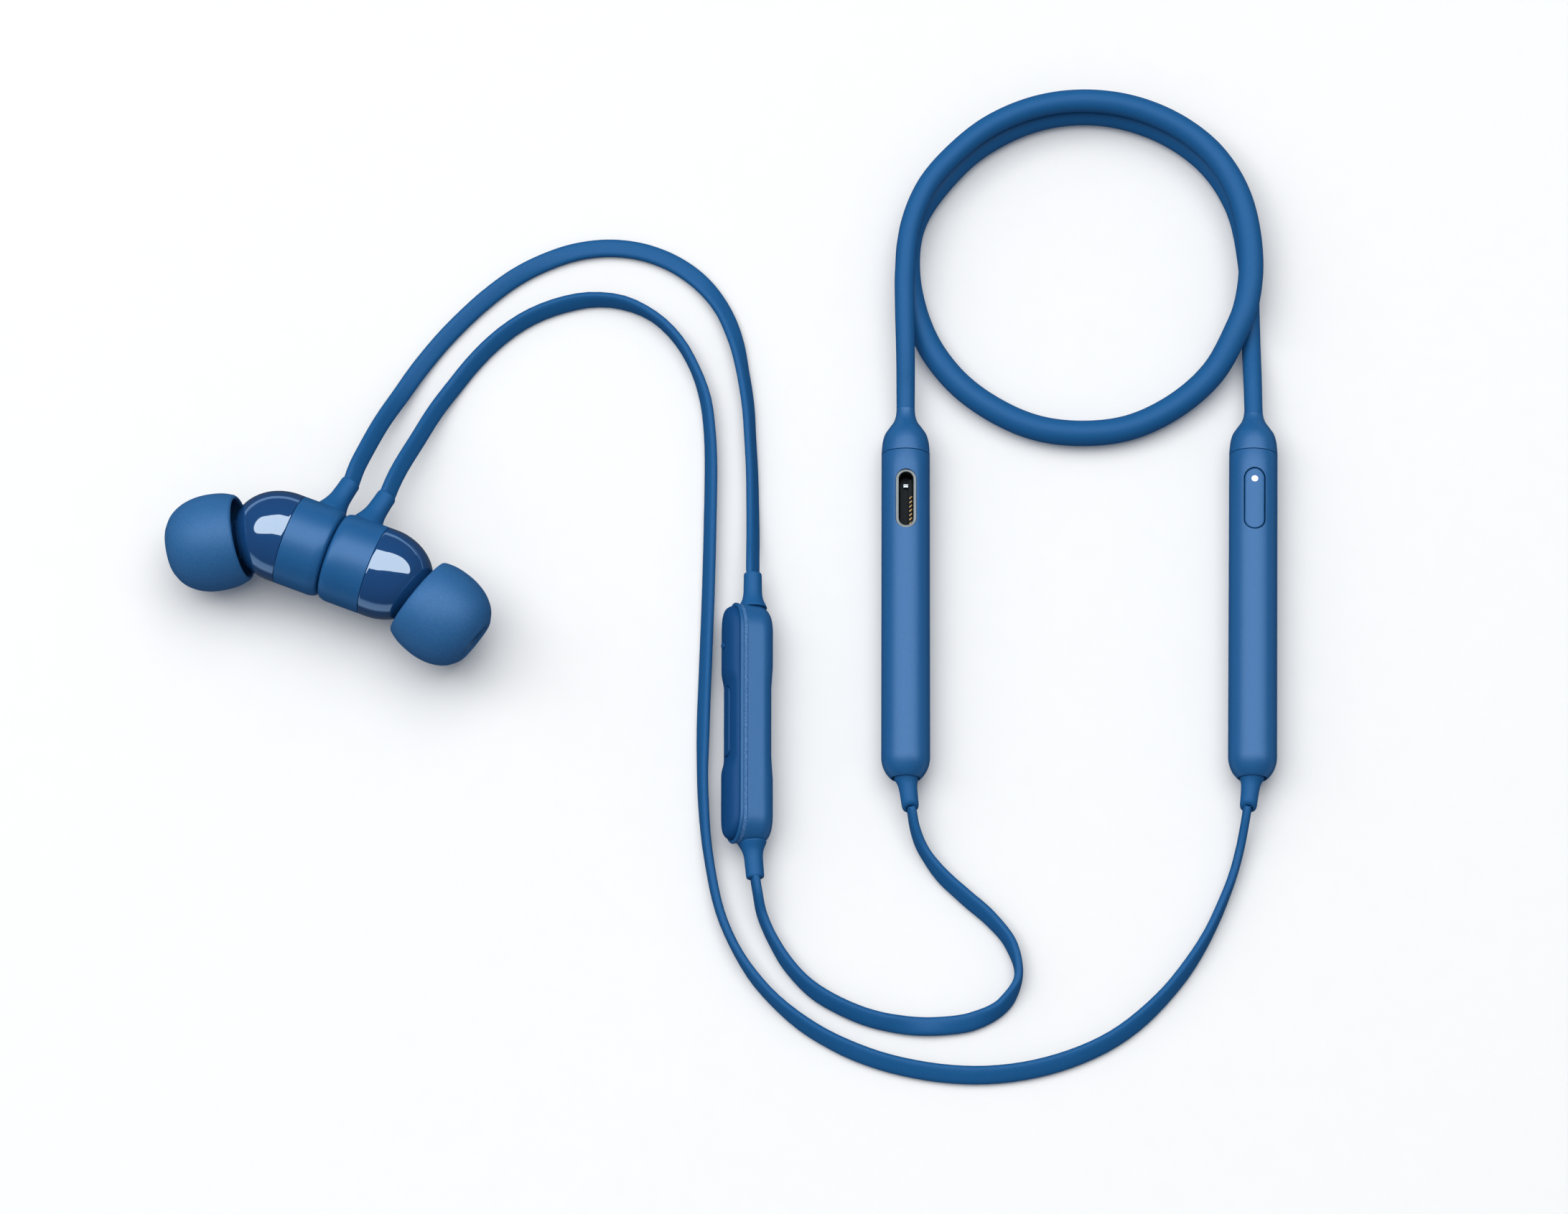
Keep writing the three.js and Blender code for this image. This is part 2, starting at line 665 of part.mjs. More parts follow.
function remote(parent) {
  const group = placed(parent, REMOTE.x, REMOTE.y, REMOTE.z);
  group.rotation.y = degrees(REMOTE.roll);
  piece(group, 'remote_back_shell', remoteBackShell(), SOFT_TOUCH);
  const gasket = remoteRing(0.12, 0.6, REMOTE_BEZEL_BACK + 0.04, REMOTE_SPLIT - 0.04);
  piece(group, 'remote_gasket', gasket, KEYPAD);
  const bezel = remoteRing(0, 0.6, REMOTE_BEZEL_FRONT, REMOTE_BEZEL_BACK);
  piece(group, 'remote_bezel', bezel, SOFT_TOUCH);
  piece(group, 'volume_pad', volumePad(), KEYPAD);
  piece(group, 'centre_key', centreKey(), KEYPAD);

  const back = REMOTE_BOARD_FRONT + 0.4;
  const board = slab(roundedOutline(4, 26, 0.8), REMOTE_BOARD_FRONT, back);
  piece(group, 'remote_board', inRemote(board), BOARD);
  const names = { volume_up_dome: PAD.reach, centre_dome: 0, volume_down_dome: -PAD.reach };
  for (const [name, y] of Object.entries(names)) {
    const dome = turned([[0, 0.05], [1.1, 0.05], [0.95, 0.17], [0.5, 0.25], [0, 0.27]], 16);
    dome.rotateX(-Math.PI / 2).translate(0, y, REMOTE_BOARD_FRONT);
    piece(group, name, inRemote(dome), STEEL);
  }
  piece(group, 'microphone', inRemote(box(1.85, 2.75, 0.6, 0, 5.5, back + 0.34)), STEEL);

  piece(group, 'remote_upper_boot', remoteBoot(0, REMOTE.halfLength), SILICONE);
  piece(group, 'remote_lower_boot', remoteBoot(degrees(185), -REMOTE.halfLength), SILICONE);
}

// ---------------------------------------------------------------- earbuds

/** The outward axis of a nozzle in its bud's frame, from its tilt and its roll. */
function nozzleAxis(side, { tilt, roll }) {
  const down = new THREE.Vector3(side * Math.cos(degrees(roll)), 0, -Math.sin(degrees(roll)));
  const along = new THREE.Vector3(0, Math.cos(degrees(tilt)), 0);
  return along.addScaledVector(down, Math.sin(degrees(tilt)));
}

/** Turns a geometry made along +Y to point along an axis from a point. */
function aimed(geometry, from, axis) {
  const turn = new THREE.Quaternion().setFromUnitVectors(new THREE.Vector3(0, 1, 0), axis);
  return geometry.applyQuaternion(turn).translate(from.x, from.y, from.z);
}

function budCup(bootFrom, bootAxis) {
  const wall = 0.6;
  const profile = [
    [0, CUP_BACK],
    [5.45, CUP_BACK],
    [5.9, 0.3],
    [BUD_RADIUS, 0.85],
    [BUD_RADIUS, CUP_FRONT],
    [BUD_RADIUS - wall, CUP_FRONT],
    [BUD_RADIUS - wall, 1.2],
    [0, 1.2],
  ];
  const hole = aimed(rod(1.2, 4, 8, 16), bootFrom, bootAxis);
  return geometryOf(solid(turned(profile, 24)).subtract(solid(hole)));
}

function budDome(root, axis) {
  const outside = turned([
    [0, DOME_BACK],
    [BUD_RADIUS, DOME_BACK],
    [6.08, 7.4],
    [5.85, 8.95],
    [5.25, 10.5],
    [4.2, 12.05],
    [2.6, 13.3],
    [0, 13.95],
  ], 24);
  const inside = turned([[0, 5.9], [5.45, 5.9], [5.4, 8], [4.7, 10], [3.4, 11.6], [1.6, 12.6], [0, 12.9]], 16);
  const stem = aimed(rod(NOZZLE_RADIUS, -1, NOZZLE_LENGTH, 16), root, axis);
  const bore = aimed(rod(1.6, -2, NOZZLE_LENGTH - 0.5, 16), root, axis);
  const recess = aimed(rod(2.15, NOZZLE_LENGTH - 0.6, NOZZLE_LENGTH + 1, 16), root, axis);
  let dome = solid(outside).add(solid(stem)).subtract(solid(inside));
  dome = dome.subtract(solid(bore)).subtract(solid(recess));
  return geometryOf(dome);
}

/** The silicone tip: a sleeve on the nozzle, turned back over itself as a hollow skirt. */
function earTip() {
  const profile = [
    [5.15, 0.1],
    [5.55, 0],
    [6.25, 1.3],
    [6.5, 3.2],
    [6.4, 5.2],
    [5.8, 7.3],
    [4.6, 9],
    [3.35, 9.9],
    [2.5, 9.7],
    [2.35, 7.7],
    [2.85, 7.5],
    [2.85, 2],
    [3.4, 2],
    [3.4, 6.4],
    [4.2, 7.6],
    [5.4, 6.2],
    [5.95, 3.2],
    [5.65, 1.3],
    [5.15, 0.1],
  ];
  return turned(profile, 20).translate(0, TIP_START, 0);
}

/** The cable boot: flared against the cup, with a stub that enters it. */
function budBoot(from, axis) {
  const flare = turned([
    [0, 5.4],
    [2.1, 5.4],
    [1.95, 6.9],
    [1.6, 8],
    [1.35, 9.2],
    [1.3, BOOT_END - 0.2],
    [1.1, BOOT_END],
    [0, BOOT_END],
  ], 16);
  const cup = solid(rod(BUD_RADIUS + 0.2, -3, 12, 36));
  const stub = solid(aimed(rod(0.9, 5, 8, 16), from, axis));
  return geometryOf(solid(aimed(flare, from, axis)).subtract(cup).add(stub));
}

/** One bud along its own +Y, from the junction outward. side is -1 for left and 1 for right. */
function bud(parent, name, side, nozzle) {
  const group = placed(parent, JUNCTION.x, JUNCTION.y, JUNCTION.z);
  group.rotation.z = degrees(side < 0 ? BARREL_TURN : BARREL_TURN - 180);
  const bootAxis = BOOT_LEAN.clone();
  if (side > 0) bootAxis.set(-BOOT_LEAN.x, -BOOT_LEAN.y, BOOT_LEAN.z);
  bootAxis.normalize();
  const bootFrom = new THREE.Vector3(0, 2.6 - side * 0.9, 0);
  const root = new THREE.Vector3(0, NOZZLE_ROOT, 0);
  const axis = nozzleAxis(side, nozzle);

  piece(group, `${name}_bud_cup`, budCup(bootFrom, bootAxis), SOFT_TOUCH);
  piece(group, `${name}_bud_magnet`, rod(4, 1.5, 3.4), STEEL);
  const can = [[0, 4.2], [3.2, 4.2], [3.2, 6.3], [5, 6.3], [5, 7.9], [0, 7.9]];
  piece(group, `${name}_bud_driver`, turned(can, 24), STEEL);
  piece(group, `${name}_bud_dome`, budDome(root, axis), GLOSS);
  const mesh = rod(1.9, NOZZLE_LENGTH - 0.4, NOZZLE_LENGTH - 0.15, 20);
  piece(group, `${name}_nozzle_mesh`, aimed(mesh, root, axis), STEEL);
  piece(group, `${name}_bud_boot`, budBoot(bootFrom, bootAxis), SILICONE);
  piece(group, `${name}_ear_tip`, aimed(earTip(), root, axis), TIP_SILICONE);
}

// ---------------------------------------------------------------- the whole object

const earphones = new THREE.Group();
neckCable(earphones);
leftCapsule(earphones);
rightCapsule(earphones);
remote(earphones);
bud(earphones, 'left', -1, LEFT_NOZZLE);
bud(earphones, 'right', 1, RIGHT_NOZZLE);
earLeads(earphones);

export default earphones;
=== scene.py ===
"""Neckband earphones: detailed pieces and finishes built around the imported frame.

Lengths inside the classes are millimetres, and every mesh is written in metres.
"""

from __future__ import annotations

import json
import logging
import math
from dataclasses import dataclass, field
from enum import Enum
from typing import Any, Sequence

import bmesh
import bpy
from mathutils import Matrix, Vector


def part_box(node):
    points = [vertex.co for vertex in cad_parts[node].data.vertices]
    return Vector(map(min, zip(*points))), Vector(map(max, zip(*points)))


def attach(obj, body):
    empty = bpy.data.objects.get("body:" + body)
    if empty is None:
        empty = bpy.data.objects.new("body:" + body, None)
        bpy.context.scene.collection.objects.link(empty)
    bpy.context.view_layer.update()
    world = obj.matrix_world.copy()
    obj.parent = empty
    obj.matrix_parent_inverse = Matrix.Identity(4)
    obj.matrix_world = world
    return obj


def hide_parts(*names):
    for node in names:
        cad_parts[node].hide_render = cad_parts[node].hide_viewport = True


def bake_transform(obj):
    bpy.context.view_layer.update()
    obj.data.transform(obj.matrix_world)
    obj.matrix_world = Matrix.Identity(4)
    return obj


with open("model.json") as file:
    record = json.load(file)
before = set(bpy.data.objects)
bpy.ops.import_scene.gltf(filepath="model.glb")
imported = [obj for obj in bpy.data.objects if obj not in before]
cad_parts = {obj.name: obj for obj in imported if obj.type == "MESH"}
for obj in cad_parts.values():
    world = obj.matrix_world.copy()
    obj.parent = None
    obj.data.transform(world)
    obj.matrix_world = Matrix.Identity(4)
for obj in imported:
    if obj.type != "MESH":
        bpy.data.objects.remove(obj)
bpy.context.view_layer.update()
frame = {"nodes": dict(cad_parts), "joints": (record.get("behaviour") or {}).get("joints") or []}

MM = 0.001
LOG = logging.getLogger("earphones")

Point = tuple[float, float, float]
Profile = Sequence[tuple[float, float]]
Colour = tuple[float, float, float]


class Body(str, Enum):
    """The bodies of the frame that pieces ride on."""

    ROOT = "root"
    POWER = "power_key"
    VOLUME = "volume"
    CENTRE = "centre"
    LEFT_TIP = "left_tip"
    RIGHT_BUD = "right_bud"
    RIGHT_TIP = "right_tip"


class Side(Enum):
    """The two halves of the earphones, with the sign that mirrors them."""

    LEFT = -1
    RIGHT = 1

    @property
    def word(self) -> str:
        """The side's name as it begins a node's name."""
        return self.name.lower()


# ---------------------------------------------------------------- shader graph


class Value:
    """A shader socket that takes part in Python arithmetic."""

    def __init__(self, graph: Graph, socket: bpy.types.NodeSocket) -> None:
        """Wraps a socket of a graph.

        Args:
            graph: The graph that the socket belongs to.
            socket: The output socket.
        """
        self.graph = graph
        self.socket = socket

    def _math(self, operation: str, first: Any, second: Any) -> Value:
        """Adds one Math node over two values and returns its result."""
        return self.graph.node("ShaderNodeMath", {"operation": operation}, {0: first, 1: second})

    def __add__(self, other: Value | float) -> Value:
        """Self plus other."""
        return self._math("ADD", self, other)

    def __radd__(self, other: float) -> Value:
        """Other plus self."""
        return self._math("ADD", other, self)

    def __sub__(self, other: Value | float) -> Value:
        """Self minus other."""
        return self._math("SUBTRACT", self, other)

    def __rsub__(self, other: float) -> Value:
        """Other minus self."""
        return self._math("SUBTRACT", other, self)

    def __mul__(self, other: Value | float) -> Value:
        """Self times other."""
        return self._math("MULTIPLY", self, other)

    def __rmul__(self, other: float) -> Value:
        """Other times self."""
        return self._math("MULTIPLY", other, self)


class Graph:
    """The node tree of one material or of the world."""

    def __init__(self, owner: bpy.types.Material | bpy.types.World) -> None:
        """Empties the owner's node tree and keeps it.

        Args:
            owner: The material or the world whose tree is built.
        """
        owner.use_nodes = True
        self.tree = owner.node_tree
        self.tree.nodes.clear()

    def node(
        self,
        kind: str,
        settings: dict[str, Any] | None = None,
        inputs: dict[str | int, Any] | None = None,
        output: str | int = 0,
    ) -> Value:
        """Adds a node, sets it and links or fills its sockets.

        Args:
            kind: The node's type.
            settings: The node's own settings, and "stops" for a ramp.
            inputs: Values or links of its sockets, by name or number.
            output: The output socket that is returned.

        Returns:
            The output socket, wrapped.
        """
        made = self.tree.nodes.new(kind)
        for name, value in (settings or {}).items():
            if name == "stops":
                self._stops(made, value)
            else:
                setattr(made, name, value)
        for name, value in (inputs or {}).items():
            if isinstance(value, Value):
                self.tree.links.new(value.socket, made.inputs[name])
            else:
                made.inputs[name].default_value = value
        return Value(self, made.outputs[output]) if len(made.outputs) else Value(self, made.inputs[0])

    @staticmethod
    def _stops(ramp: bpy.types.Node, stops: Sequence[tuple[float, Sequence[float]]]) -> None:
        """Gives a ramp node its stops.

        Args:
            ramp: The ramp node.
            stops: The (position, colour) pairs, in order.
        """
        elements = ramp.color_ramp.elements
        while len(elements) < len(stops):
            elements.new(0.5)
        for element, (position, colour) in zip(elements, stops):
            element.position = position
            element.color = (*colour, 1.0)

    def coordinates(self, stretch: Point = (1.0, 1.0, 1.0)) -> Value:
        """The object's own coordinates, stretched along its axes.

        Args:
            stretch: The factor along each axis.

        Returns:
            The coordinates.
        """
        place = self.node("ShaderNodeTexCoord", output="Object")
        if stretch == (1.0, 1.0, 1.0):
            return place
        return self.node(
            "ShaderNodeVectorMath", {"operation": "MULTIPLY"}, {0: place, 1: stretch}
        )

    def noise(self, place: Value, size: float, detail: float = 2.0) -> Value:
        """Noise with features of one size.

        Args:
            place: The coordinates that it is read at.
            size: About how large its features are, in millimetres.
            detail: How many finer layers it has.

        Returns:
            The noise, from 0 to 1.
        """
        return self.node(
            "ShaderNodeTexNoise",
            {},
            {"Vector": place, "Scale": 1.0 / (size * MM), "Detail": detail, "Roughness": 0.55},
            "Fac",
        )

    def ramp(self, fac: Value, low: float, high: float) -> Value:
        """A mask that rises from 0 to 1 between two values.

        Args:
            fac: What the mask is made from.
            low: Where it starts to rise.
            high: Where it reaches 1.

        Returns:
            The mask.
        """
        black, white = (0.0, 0.0, 0.0), (1.0, 1.0, 1.0)
        return self.node(
            "ShaderNodeValToRGB", {"stops": [(low, black), (high, white)]}, {"Fac": fac}
        )

    def mix(self, fac: Value, first: Colour, second: Colour | Value) -> Value:
        """A colour between two colours.

        Args:
            fac: How far it lies from the first colour to the second.
            first: The first colour.
            second: The second colour, or a colour from the graph.

        Returns:
            The mixed colour.
        """
        far = second if isinstance(second, Value) else (*second, 1.0)
        return self.node(
            "ShaderNodeMix",
            {"data_type": "RGBA"},
            {0: fac, 6: (*first, 1.0), 7: far},
            2,
        )

    def bump(self, height: Value, depth: float, strength: float) -> Value:
        """A normal from a height.

        Args:
            height: The height, from 0 to 1.
            depth: What a height of 1 stands for, in millimetres.
            strength: How strongly the relief shows.

        Returns:
            The normal.
        """
        return self.node(
            "ShaderNodeBump",
            {},
            {"Strength": strength, "Distance": depth * MM, "Height": height},
            "Normal",
        )

    def surface(self, inputs: dict[str, Any]) -> None:
        """Ends the tree in a Principled shader with these sockets."""
        shader = self.node("ShaderNodeBsdfPrincipled", {}, inputs)
        self.node("ShaderNodeOutputMaterial", {}, {"Surface": shader})


# ---------------------------------------------------------------- finishes


@dataclass(frozen=True)
class Moulded:
    """A moulded rubber or plastic surface with a fine moulded-in grain.

    Attributes:
        name: The material's name.
        base: Its colour.
        fleck: The colour of its grain's high spots.
        roughness: Its roughness.
        grain: The grain's size in millimetres.
        fleck_share: How much of the fleck's colour shows.
        relief: The strength of the grain's bump.
        coat: The weight of a clear coat.
        specular: The level of its plain reflection.
    """

    name: str
    base: Colour
    fleck: Colour
    roughness: float = 0.45
    grain: float = 0.16
    fleck_share: float = 0.25
    relief: float = 0.25
    coat: float = 0.0
    specular: float = 0.19

    def build(self) -> bpy.types.Material:
        """Makes the material.

        Returns:
            The new material.
        """
        material = bpy.data.materials.new(self.name)
        graph = Graph(material)
        place = graph.coordinates()
        grain = graph.noise(place, self.grain, 1.0)
        cloud = graph.noise(place, 3.5)
        flecks = graph.ramp(grain, 0.42, 0.72) * self.fleck_share
        graph.surface(
            {
                "Base Color": graph.mix(flecks, self.base, self.fleck),
                "Roughness": self.roughness - 0.05 + grain * 0.06 + cloud * 0.04,
                "Normal": graph.bump(grain, 0.03, self.relief),
                "Coat Weight": self.coat,
                "Coat Roughness": 0.25,
                "Specular IOR Level": self.specular,
            }
        )
        return material


@dataclass(frozen=True)
class Lacquer:
    """A high-gloss moulding under a clear coat.

    Attributes:
        name: The material's name.
        base: Its colour.
        deep: The colour of its darker clouds.
    """

    name: str
    base: Colour
    deep: Colour

    def build(self) -> bpy.types.Material:
        """Makes the material.

        Returns:
            The new material.
        """
        material = bpy.data.materials.new(self.name)
        graph = Graph(material)
        place = graph.coordinates()
        cloud = graph.noise(place, 4.0)
        ripple = graph.noise(place, 1.6, 0.0)
        graph.surface(
            {
                "Base Color": graph.mix(cloud, self.base, self.deep),
                "Roughness": 0.05 + cloud * 0.04,
                "Normal": graph.bump(ripple, 0.004, 0.03),
                "IOR": 1.55,
                "Coat Weight": 1.0,
                "Coat Roughness": 0.02,
                "Coat IOR": 1.75,
            }
        )
        return material


@dataclass(frozen=True)
class Metal:
    """A metal with brushed or plated grain along one axis.

    Attributes:
        name: The material's name.
        base: Its colour.
        dark: The colour between its hairlines.
        roughness: Its roughness at the least.
        grain: How its hairlines are stretched along the axes.
    """

    name: str
    base: Colour
    dark: Colour
    roughness: float
    grain: Point = (1.0, 0.06, 1.0)

    def build(self) -> bpy.types.Material:
        """Makes the material.

        Returns:
            The new material.
        """
        material = bpy.data.materials.new(self.name)
        graph = Graph(material)
        hair = graph.noise(graph.coordinates(self.grain), 0.05)
        graph.surface(
            {
                "Base Color": graph.mix(hair, self.base, self.dark),
                "Metallic": 1.0,
                "Roughness": self.roughness + hair * 0.12,
                "Normal": graph.bump(hair, 0.01, 0.2),
            }
        )
        return material


@dataclass(frozen=True)
class LightPipe:
    """The diffusing window of the status light."""

    name: str = "light_pipe"

    def build(self) -> bpy.types.Material:
        """Makes the material.

        Returns:
            The new material.
        """
        material = bpy.data.materials.new(self.name)
        graph = Graph(material)
        cloud = graph.noise(graph.coordinates(), 0.5)
        graph.surface(
            {
                "Base Color": graph.mix(cloud, (0.86, 0.88, 0.9), (0.97, 0.98, 1.0)),
                "Roughness": 0.3 + cloud * 0.05,
                "Emission Color": (0.9, 0.95, 1.0, 1.0),
                "Emission Strength": 0.12,
            }
        )
        return material


@dataclass(frozen=True)
class SoftboxCloth:
    """The glowing cloth of the softbox, a little dimmer in its weave."""

    name: str = "softbox_cloth"
    strength: float = 5.6

    def build(self) -> bpy.types.Material:
        """Makes the material.

        Returns:
            The new material.
        """
        material = bpy.data.materials.new(self.name)
        graph = Graph(material)
        cloud = graph.noise(graph.coordinates(), 900.0)
        graph.surface(
            {
                "Base Color": (0.0, 0.0, 0.0, 1.0),
                "Specular IOR Level": 0.0,
                "Emission Color": graph.mix(cloud, (0.74, 0.89, 1.0), (0.8, 0.92, 1.0)),
                "Emission Strength": self.strength,
            }
        )
        return material


@dataclass(frozen=True)
class FloorPaper:
    """The pale floor that the earphones lie on."""

    name: str = "floor_paper"

    def build(self) -> bpy.types.Material:
        """Makes the material.

        Returns:
            The new material.
        """
        material = bpy.data.materials.new(self.name)
        graph = Graph(material)
        fibre = graph.noise(graph.coordinates(), 4.0)
        graph.surface(
            {
                "Base Color": graph.mix(fibre, (0.8, 0.8, 0.8), (0.82, 0.82, 0.82)),
                "Roughness": 0.9,
                "Specular IOR Level": 0.1,
            }
        )
        return material


BLUE: Colour = (0.011, 0.092, 0.252)
PALE_BLUE: Colour = (0.045, 0.18, 0.4)

SOFT_TOUCH = Moulded(
    "soft_touch", BLUE, PALE_BLUE, roughness=0.36, fleck_share=0.12, specular=0.24
)
SILICONE = Moulded(
    "silicone", (0.01, 0.09, 0.248), PALE_BLUE, roughness=0.48, fleck_share=0.1, specular=0.07
)
CABLE = Moulded(
    "cable", (0.01, 0.088, 0.243), PALE_BLUE, roughness=0.44, fleck_share=0.1, specular=0.06
)
TIP_SILICONE = Moulded(
    "tip_silicone",
    (0.012, 0.092, 0.25), (0.1, 0.27, 0.52),
    roughness=0.52,
    grain=0.07,
    fleck_share=0.32,
    relief=0.3,
)
# The keypad's base is painted darker than BLUE as painted shade, because the pad faces away from the
# top light; the pad, its nub and the centre bar all use it.
KEYPAD_PAINTED_SHADE = Moulded(
    "keypad", (0.003, 0.05, 0.165), (0.01, 0.08, 0.22), roughness=0.5, fleck_share=0.1, specular=0.08
)
GASKET = Moulded(
    "gasket", (0.03, 0.12, 0.3), (0.1, 0.24, 0.48), roughness=0.6, grain=0.22, fleck_share=0.7,
    relief=1.0,
)
GLOSS = Lacquer("gloss", (0.01, 0.06, 0.19), (0.008, 0.052, 0.17))
BRIGHT_METAL = Metal("bright_metal", (0.14, 0.137, 0.133), (0.08, 0.078, 0.076), 0.4)
GOLD = Metal("gold", (0.36, 0.2, 0.08), (0.2, 0.11, 0.045), 0.4)
STEEL = Metal("steel", (0.62, 0.63, 0.65), (0.42, 0.43, 0.45), 0.35, (1.0, 1.0, 0.1))
BATTERY_WRAP = Metal("battery", (0.5, 0.53, 0.58), (0.36, 0.38, 0.42), 0.45)
BLACK_PLASTIC = Moulded(
    "black_plastic", (0.004, 0.004, 0.0045), (0.012, 0.012, 0.012), roughness=0.4, specular=0.06
)
BOARD = Moulded("board", (0.012, 0.1, 0.045), (0.03, 0.2, 0.1), grain=0.5, coat=0.6)


class Palette:
    """Makes each finish once and hands it out."""

    def __init__(self) -> None:
        """Starts with nothing made."""
        self._made: dict[str, bpy.types.Material] = {}

    def __getitem__(self, finish: Any) -> bpy.types.Material:
        """The material of a finish.

        Args:
            finish: The finish.

        Returns:
            Its material, made when it is first asked for.
        """
        if finish.name not in self._made:
            self._made[finish.name] = finish.build()
        return self._made[finish.name]


PALETTE = Palette()

# ---------------------------------------------------------------- geometry


class Mesher:
    """Collects rings of points into one mesh, in millimetres of a placed frame."""

    def __init__(self, place: Matrix | None = None) -> None:
        """Starts an empty mesh.

        Args:
            place: The frame that the points are given in.
        """
        self.place = place or Matrix.Identity(4)
        self.mesh = bmesh.new()

    def _verts(self, points: Sequence[Sequence[float]]) -> list[bmesh.types.BMVert]:
        """Adds points as vertices, placed and in metres."""
        return [self.mesh.verts.new((self.place @ Vector(p)) * MM) for p in points]

    def loft(
        self,
        rings: Sequence[Sequence[Sequence[float]]],
        start: bool = True,
        end: bool = True,
        around: bool = False,
    ) -> Mesher:
        """Skins rings of equal count, one after another.

        Args:
            rings: The rings; a ring of one point is a pole.
            start: Whether the first ring is closed by a face.
            end: Whether the last ring is closed by a face.
            around: Whether the last ring joins the first again.

        Returns:
            The mesher itself.
        """
        made = [self._verts(ring) for ring in rings]
        pairs = list(zip(made, made[1:]))
        if around:
            pairs.append((made[-1], made[0]))
        for low, high in pairs:
            count = max(len(low), len(high))
            for i in range(count):
                j = (i + 1) % count
                corners = [low[i % len(low)], low[j % len(low)]]
                corners += [high[j % len(high)], high[i % len(high)]]
                unique = list(dict.fromkeys(corners))
                if len(unique) > 2:
                    self.mesh.faces.new(unique)
        for wanted, ring in ((start, made[0]), (end, made[-1])):
            if wanted and not around and len(ring) > 2:
                self.mesh.faces.new(ring)
        return self

    def turned(self, profile: Profile, sides: int = 96, closed: bool = False) -> Mesher:
        """Turns a profile of (radius, height) about the frame's Y axis.

        Args:
            profile: The profile's points.
            sides: How many sides the turned surface has.
            closed: Whether the profile's end joins its start.

        Returns:
            The mesher itself.
        """
        rings = []
        for radius, height in profile:
            if radius < 1e-6:
                rings.append([(0.0, height, 0.0)])
                continue
            ring = []
            for i in range(sides):
                angle = i * (2 * math.pi / sides)
                ring.append((radius * math.sin(angle), height, radius * math.cos(angle)))
            rings.append(ring)
        return self.loft(rings, False, False, closed)

    def piece(self, name: str, finish: Any, crease: float = 32.0) -> bpy.types.Object:
        """Makes the object, smooth except where faces meet at more than the crease angle.

        Args:
            name: The piece's name.
            finish: The finish that it gets.
            crease: The angle in degrees from which an edge stays sharp.

        Returns:
            The new object, linked to the scene.
        """
        bmesh.ops.recalc_face_normals(self.mesh, faces=self.mesh.faces)
        data = bpy.data.meshes.new(name)
        self.mesh.to_mesh(data)
        self.mesh.free()
        data.shade_smooth()
        data.set_sharp_from_angle(angle=math.radians(crease))
        made = bpy.data.objects.new(name, data)
        bpy.context.scene.collection.objects.link(made)
        data.materials.append(PALETTE[finish])
        return made


def filleted(
    corners: Sequence[tuple[float, float, float]], steps: int = 5
) -> list[tuple[float, float]]:
    """Rounds the corners of a profile.

    Args:
        corners: (radius, height, fillet) of each corner; a fillet of 0 stays sharp.
        steps: How many segments one fillet has.

    Returns:
        The profile with its fillets.
    """
    out: list[tuple[float, float]] = []
    for i, (x, y, fillet) in enumerate(corners):
        if fillet <= 0 or i in (0, len(corners) - 1):
            out.append((x, y))
            continue
        here = Vector((x, y))
        before = Vector(corners[i - 1][:2]) - here
        after = Vector(corners[i + 1][:2]) - here
        reach = min(fillet, before.length * 0.49, after.length * 0.49)
        first = here + before.normalized() * reach
        last = here + after.normalized() * reach
        for k in range(steps + 1):
            t = k / steps
            point = first * (1 - t) ** 2 + here * (2 * t * (1 - t)) + last * t**2
            out.append((point.x, point.y))
    return out


def spline(points: Sequence[Sequence[float]], count: int) -> list[Vector]:
    """A centripetal Catmull-Rom curve through points, resampled at equal distances.

    Args:
        points: The points that the curve passes through.
        count: How many points come back.

    Returns:
        The points on the curve.
    """
    route = [Vector(p) for p in points]
    route = [route[0] * 2 - route[1], *route, route[-1] * 2 - route[-2]]
    dense: list[Vector] = []
    for p0, p1, p2, p3 in zip(route, route[1:], route[2:], route[3:]):
        t0 = 0.0
        t1 = t0 + max((p1 - p0).length ** 0.5, 1e-6)
        t2 = t1 + max((p2 - p1).length ** 0.5, 1e-6)
        t3 = t2 + max((p3 - p2).length ** 0.5, 1e-6)
        for k in range(24):
            t = t1 + (t2 - t1) * k / 24
            a1 = p0 * ((t1 - t) / (t1 - t0)) + p1 * ((t - t0) / (t1 - t0))
            a2 = p1 * ((t2 - t) / (t2 - t1)) + p2 * ((t - t1) / (t2 - t1))
            a3 = p2 * ((t3 - t) / (t3 - t2)) + p3 * ((t - t2) / (t3 - t2))
            b1 = a1 * ((t2 - t) / (t2 - t0)) + a2 * ((t - t0) / (t2 - t0))
            b2 = a2 * ((t3 - t) / (t3 - t1)) + a3 * ((t - t1) / (t3 - t1))
            dense.append(b1 * ((t2 - t) / (t2 - t1)) + b2 * ((t - t1) / (t2 - t1)))
    dense.append(Vector(points[-1]))
    travelled = [0.0]
    for a, b in zip(dense, dense[1:]):
        travelled.append(travelled[-1] + (b - a).length)
    out, k = [], 0
    for i in range(count):
        goal = travelled[-1] * i / (count - 1)
        while k < len(dense) - 2 and travelled[k + 1] < goal:
            k += 1
        span = max(travelled[k + 1] - travelled[k], 1e-9)
        out.append(dense[k].lerp(dense[k + 1], min(1.0, (goal - travelled[k]) / span)))
    return out


def smoothed(profile: Profile, count: int) -> list[tuple[float, float]]:
    """A smooth profile through the points of a rough one.

    Args:
        profile: The (radius, height) points that it passes through.
        count: How many points come back.

    Returns:
        The smooth profile.
    """
    return [(p.x, p.y) for p in spline([(r, y, 0.0) for r, y in profile], count)]


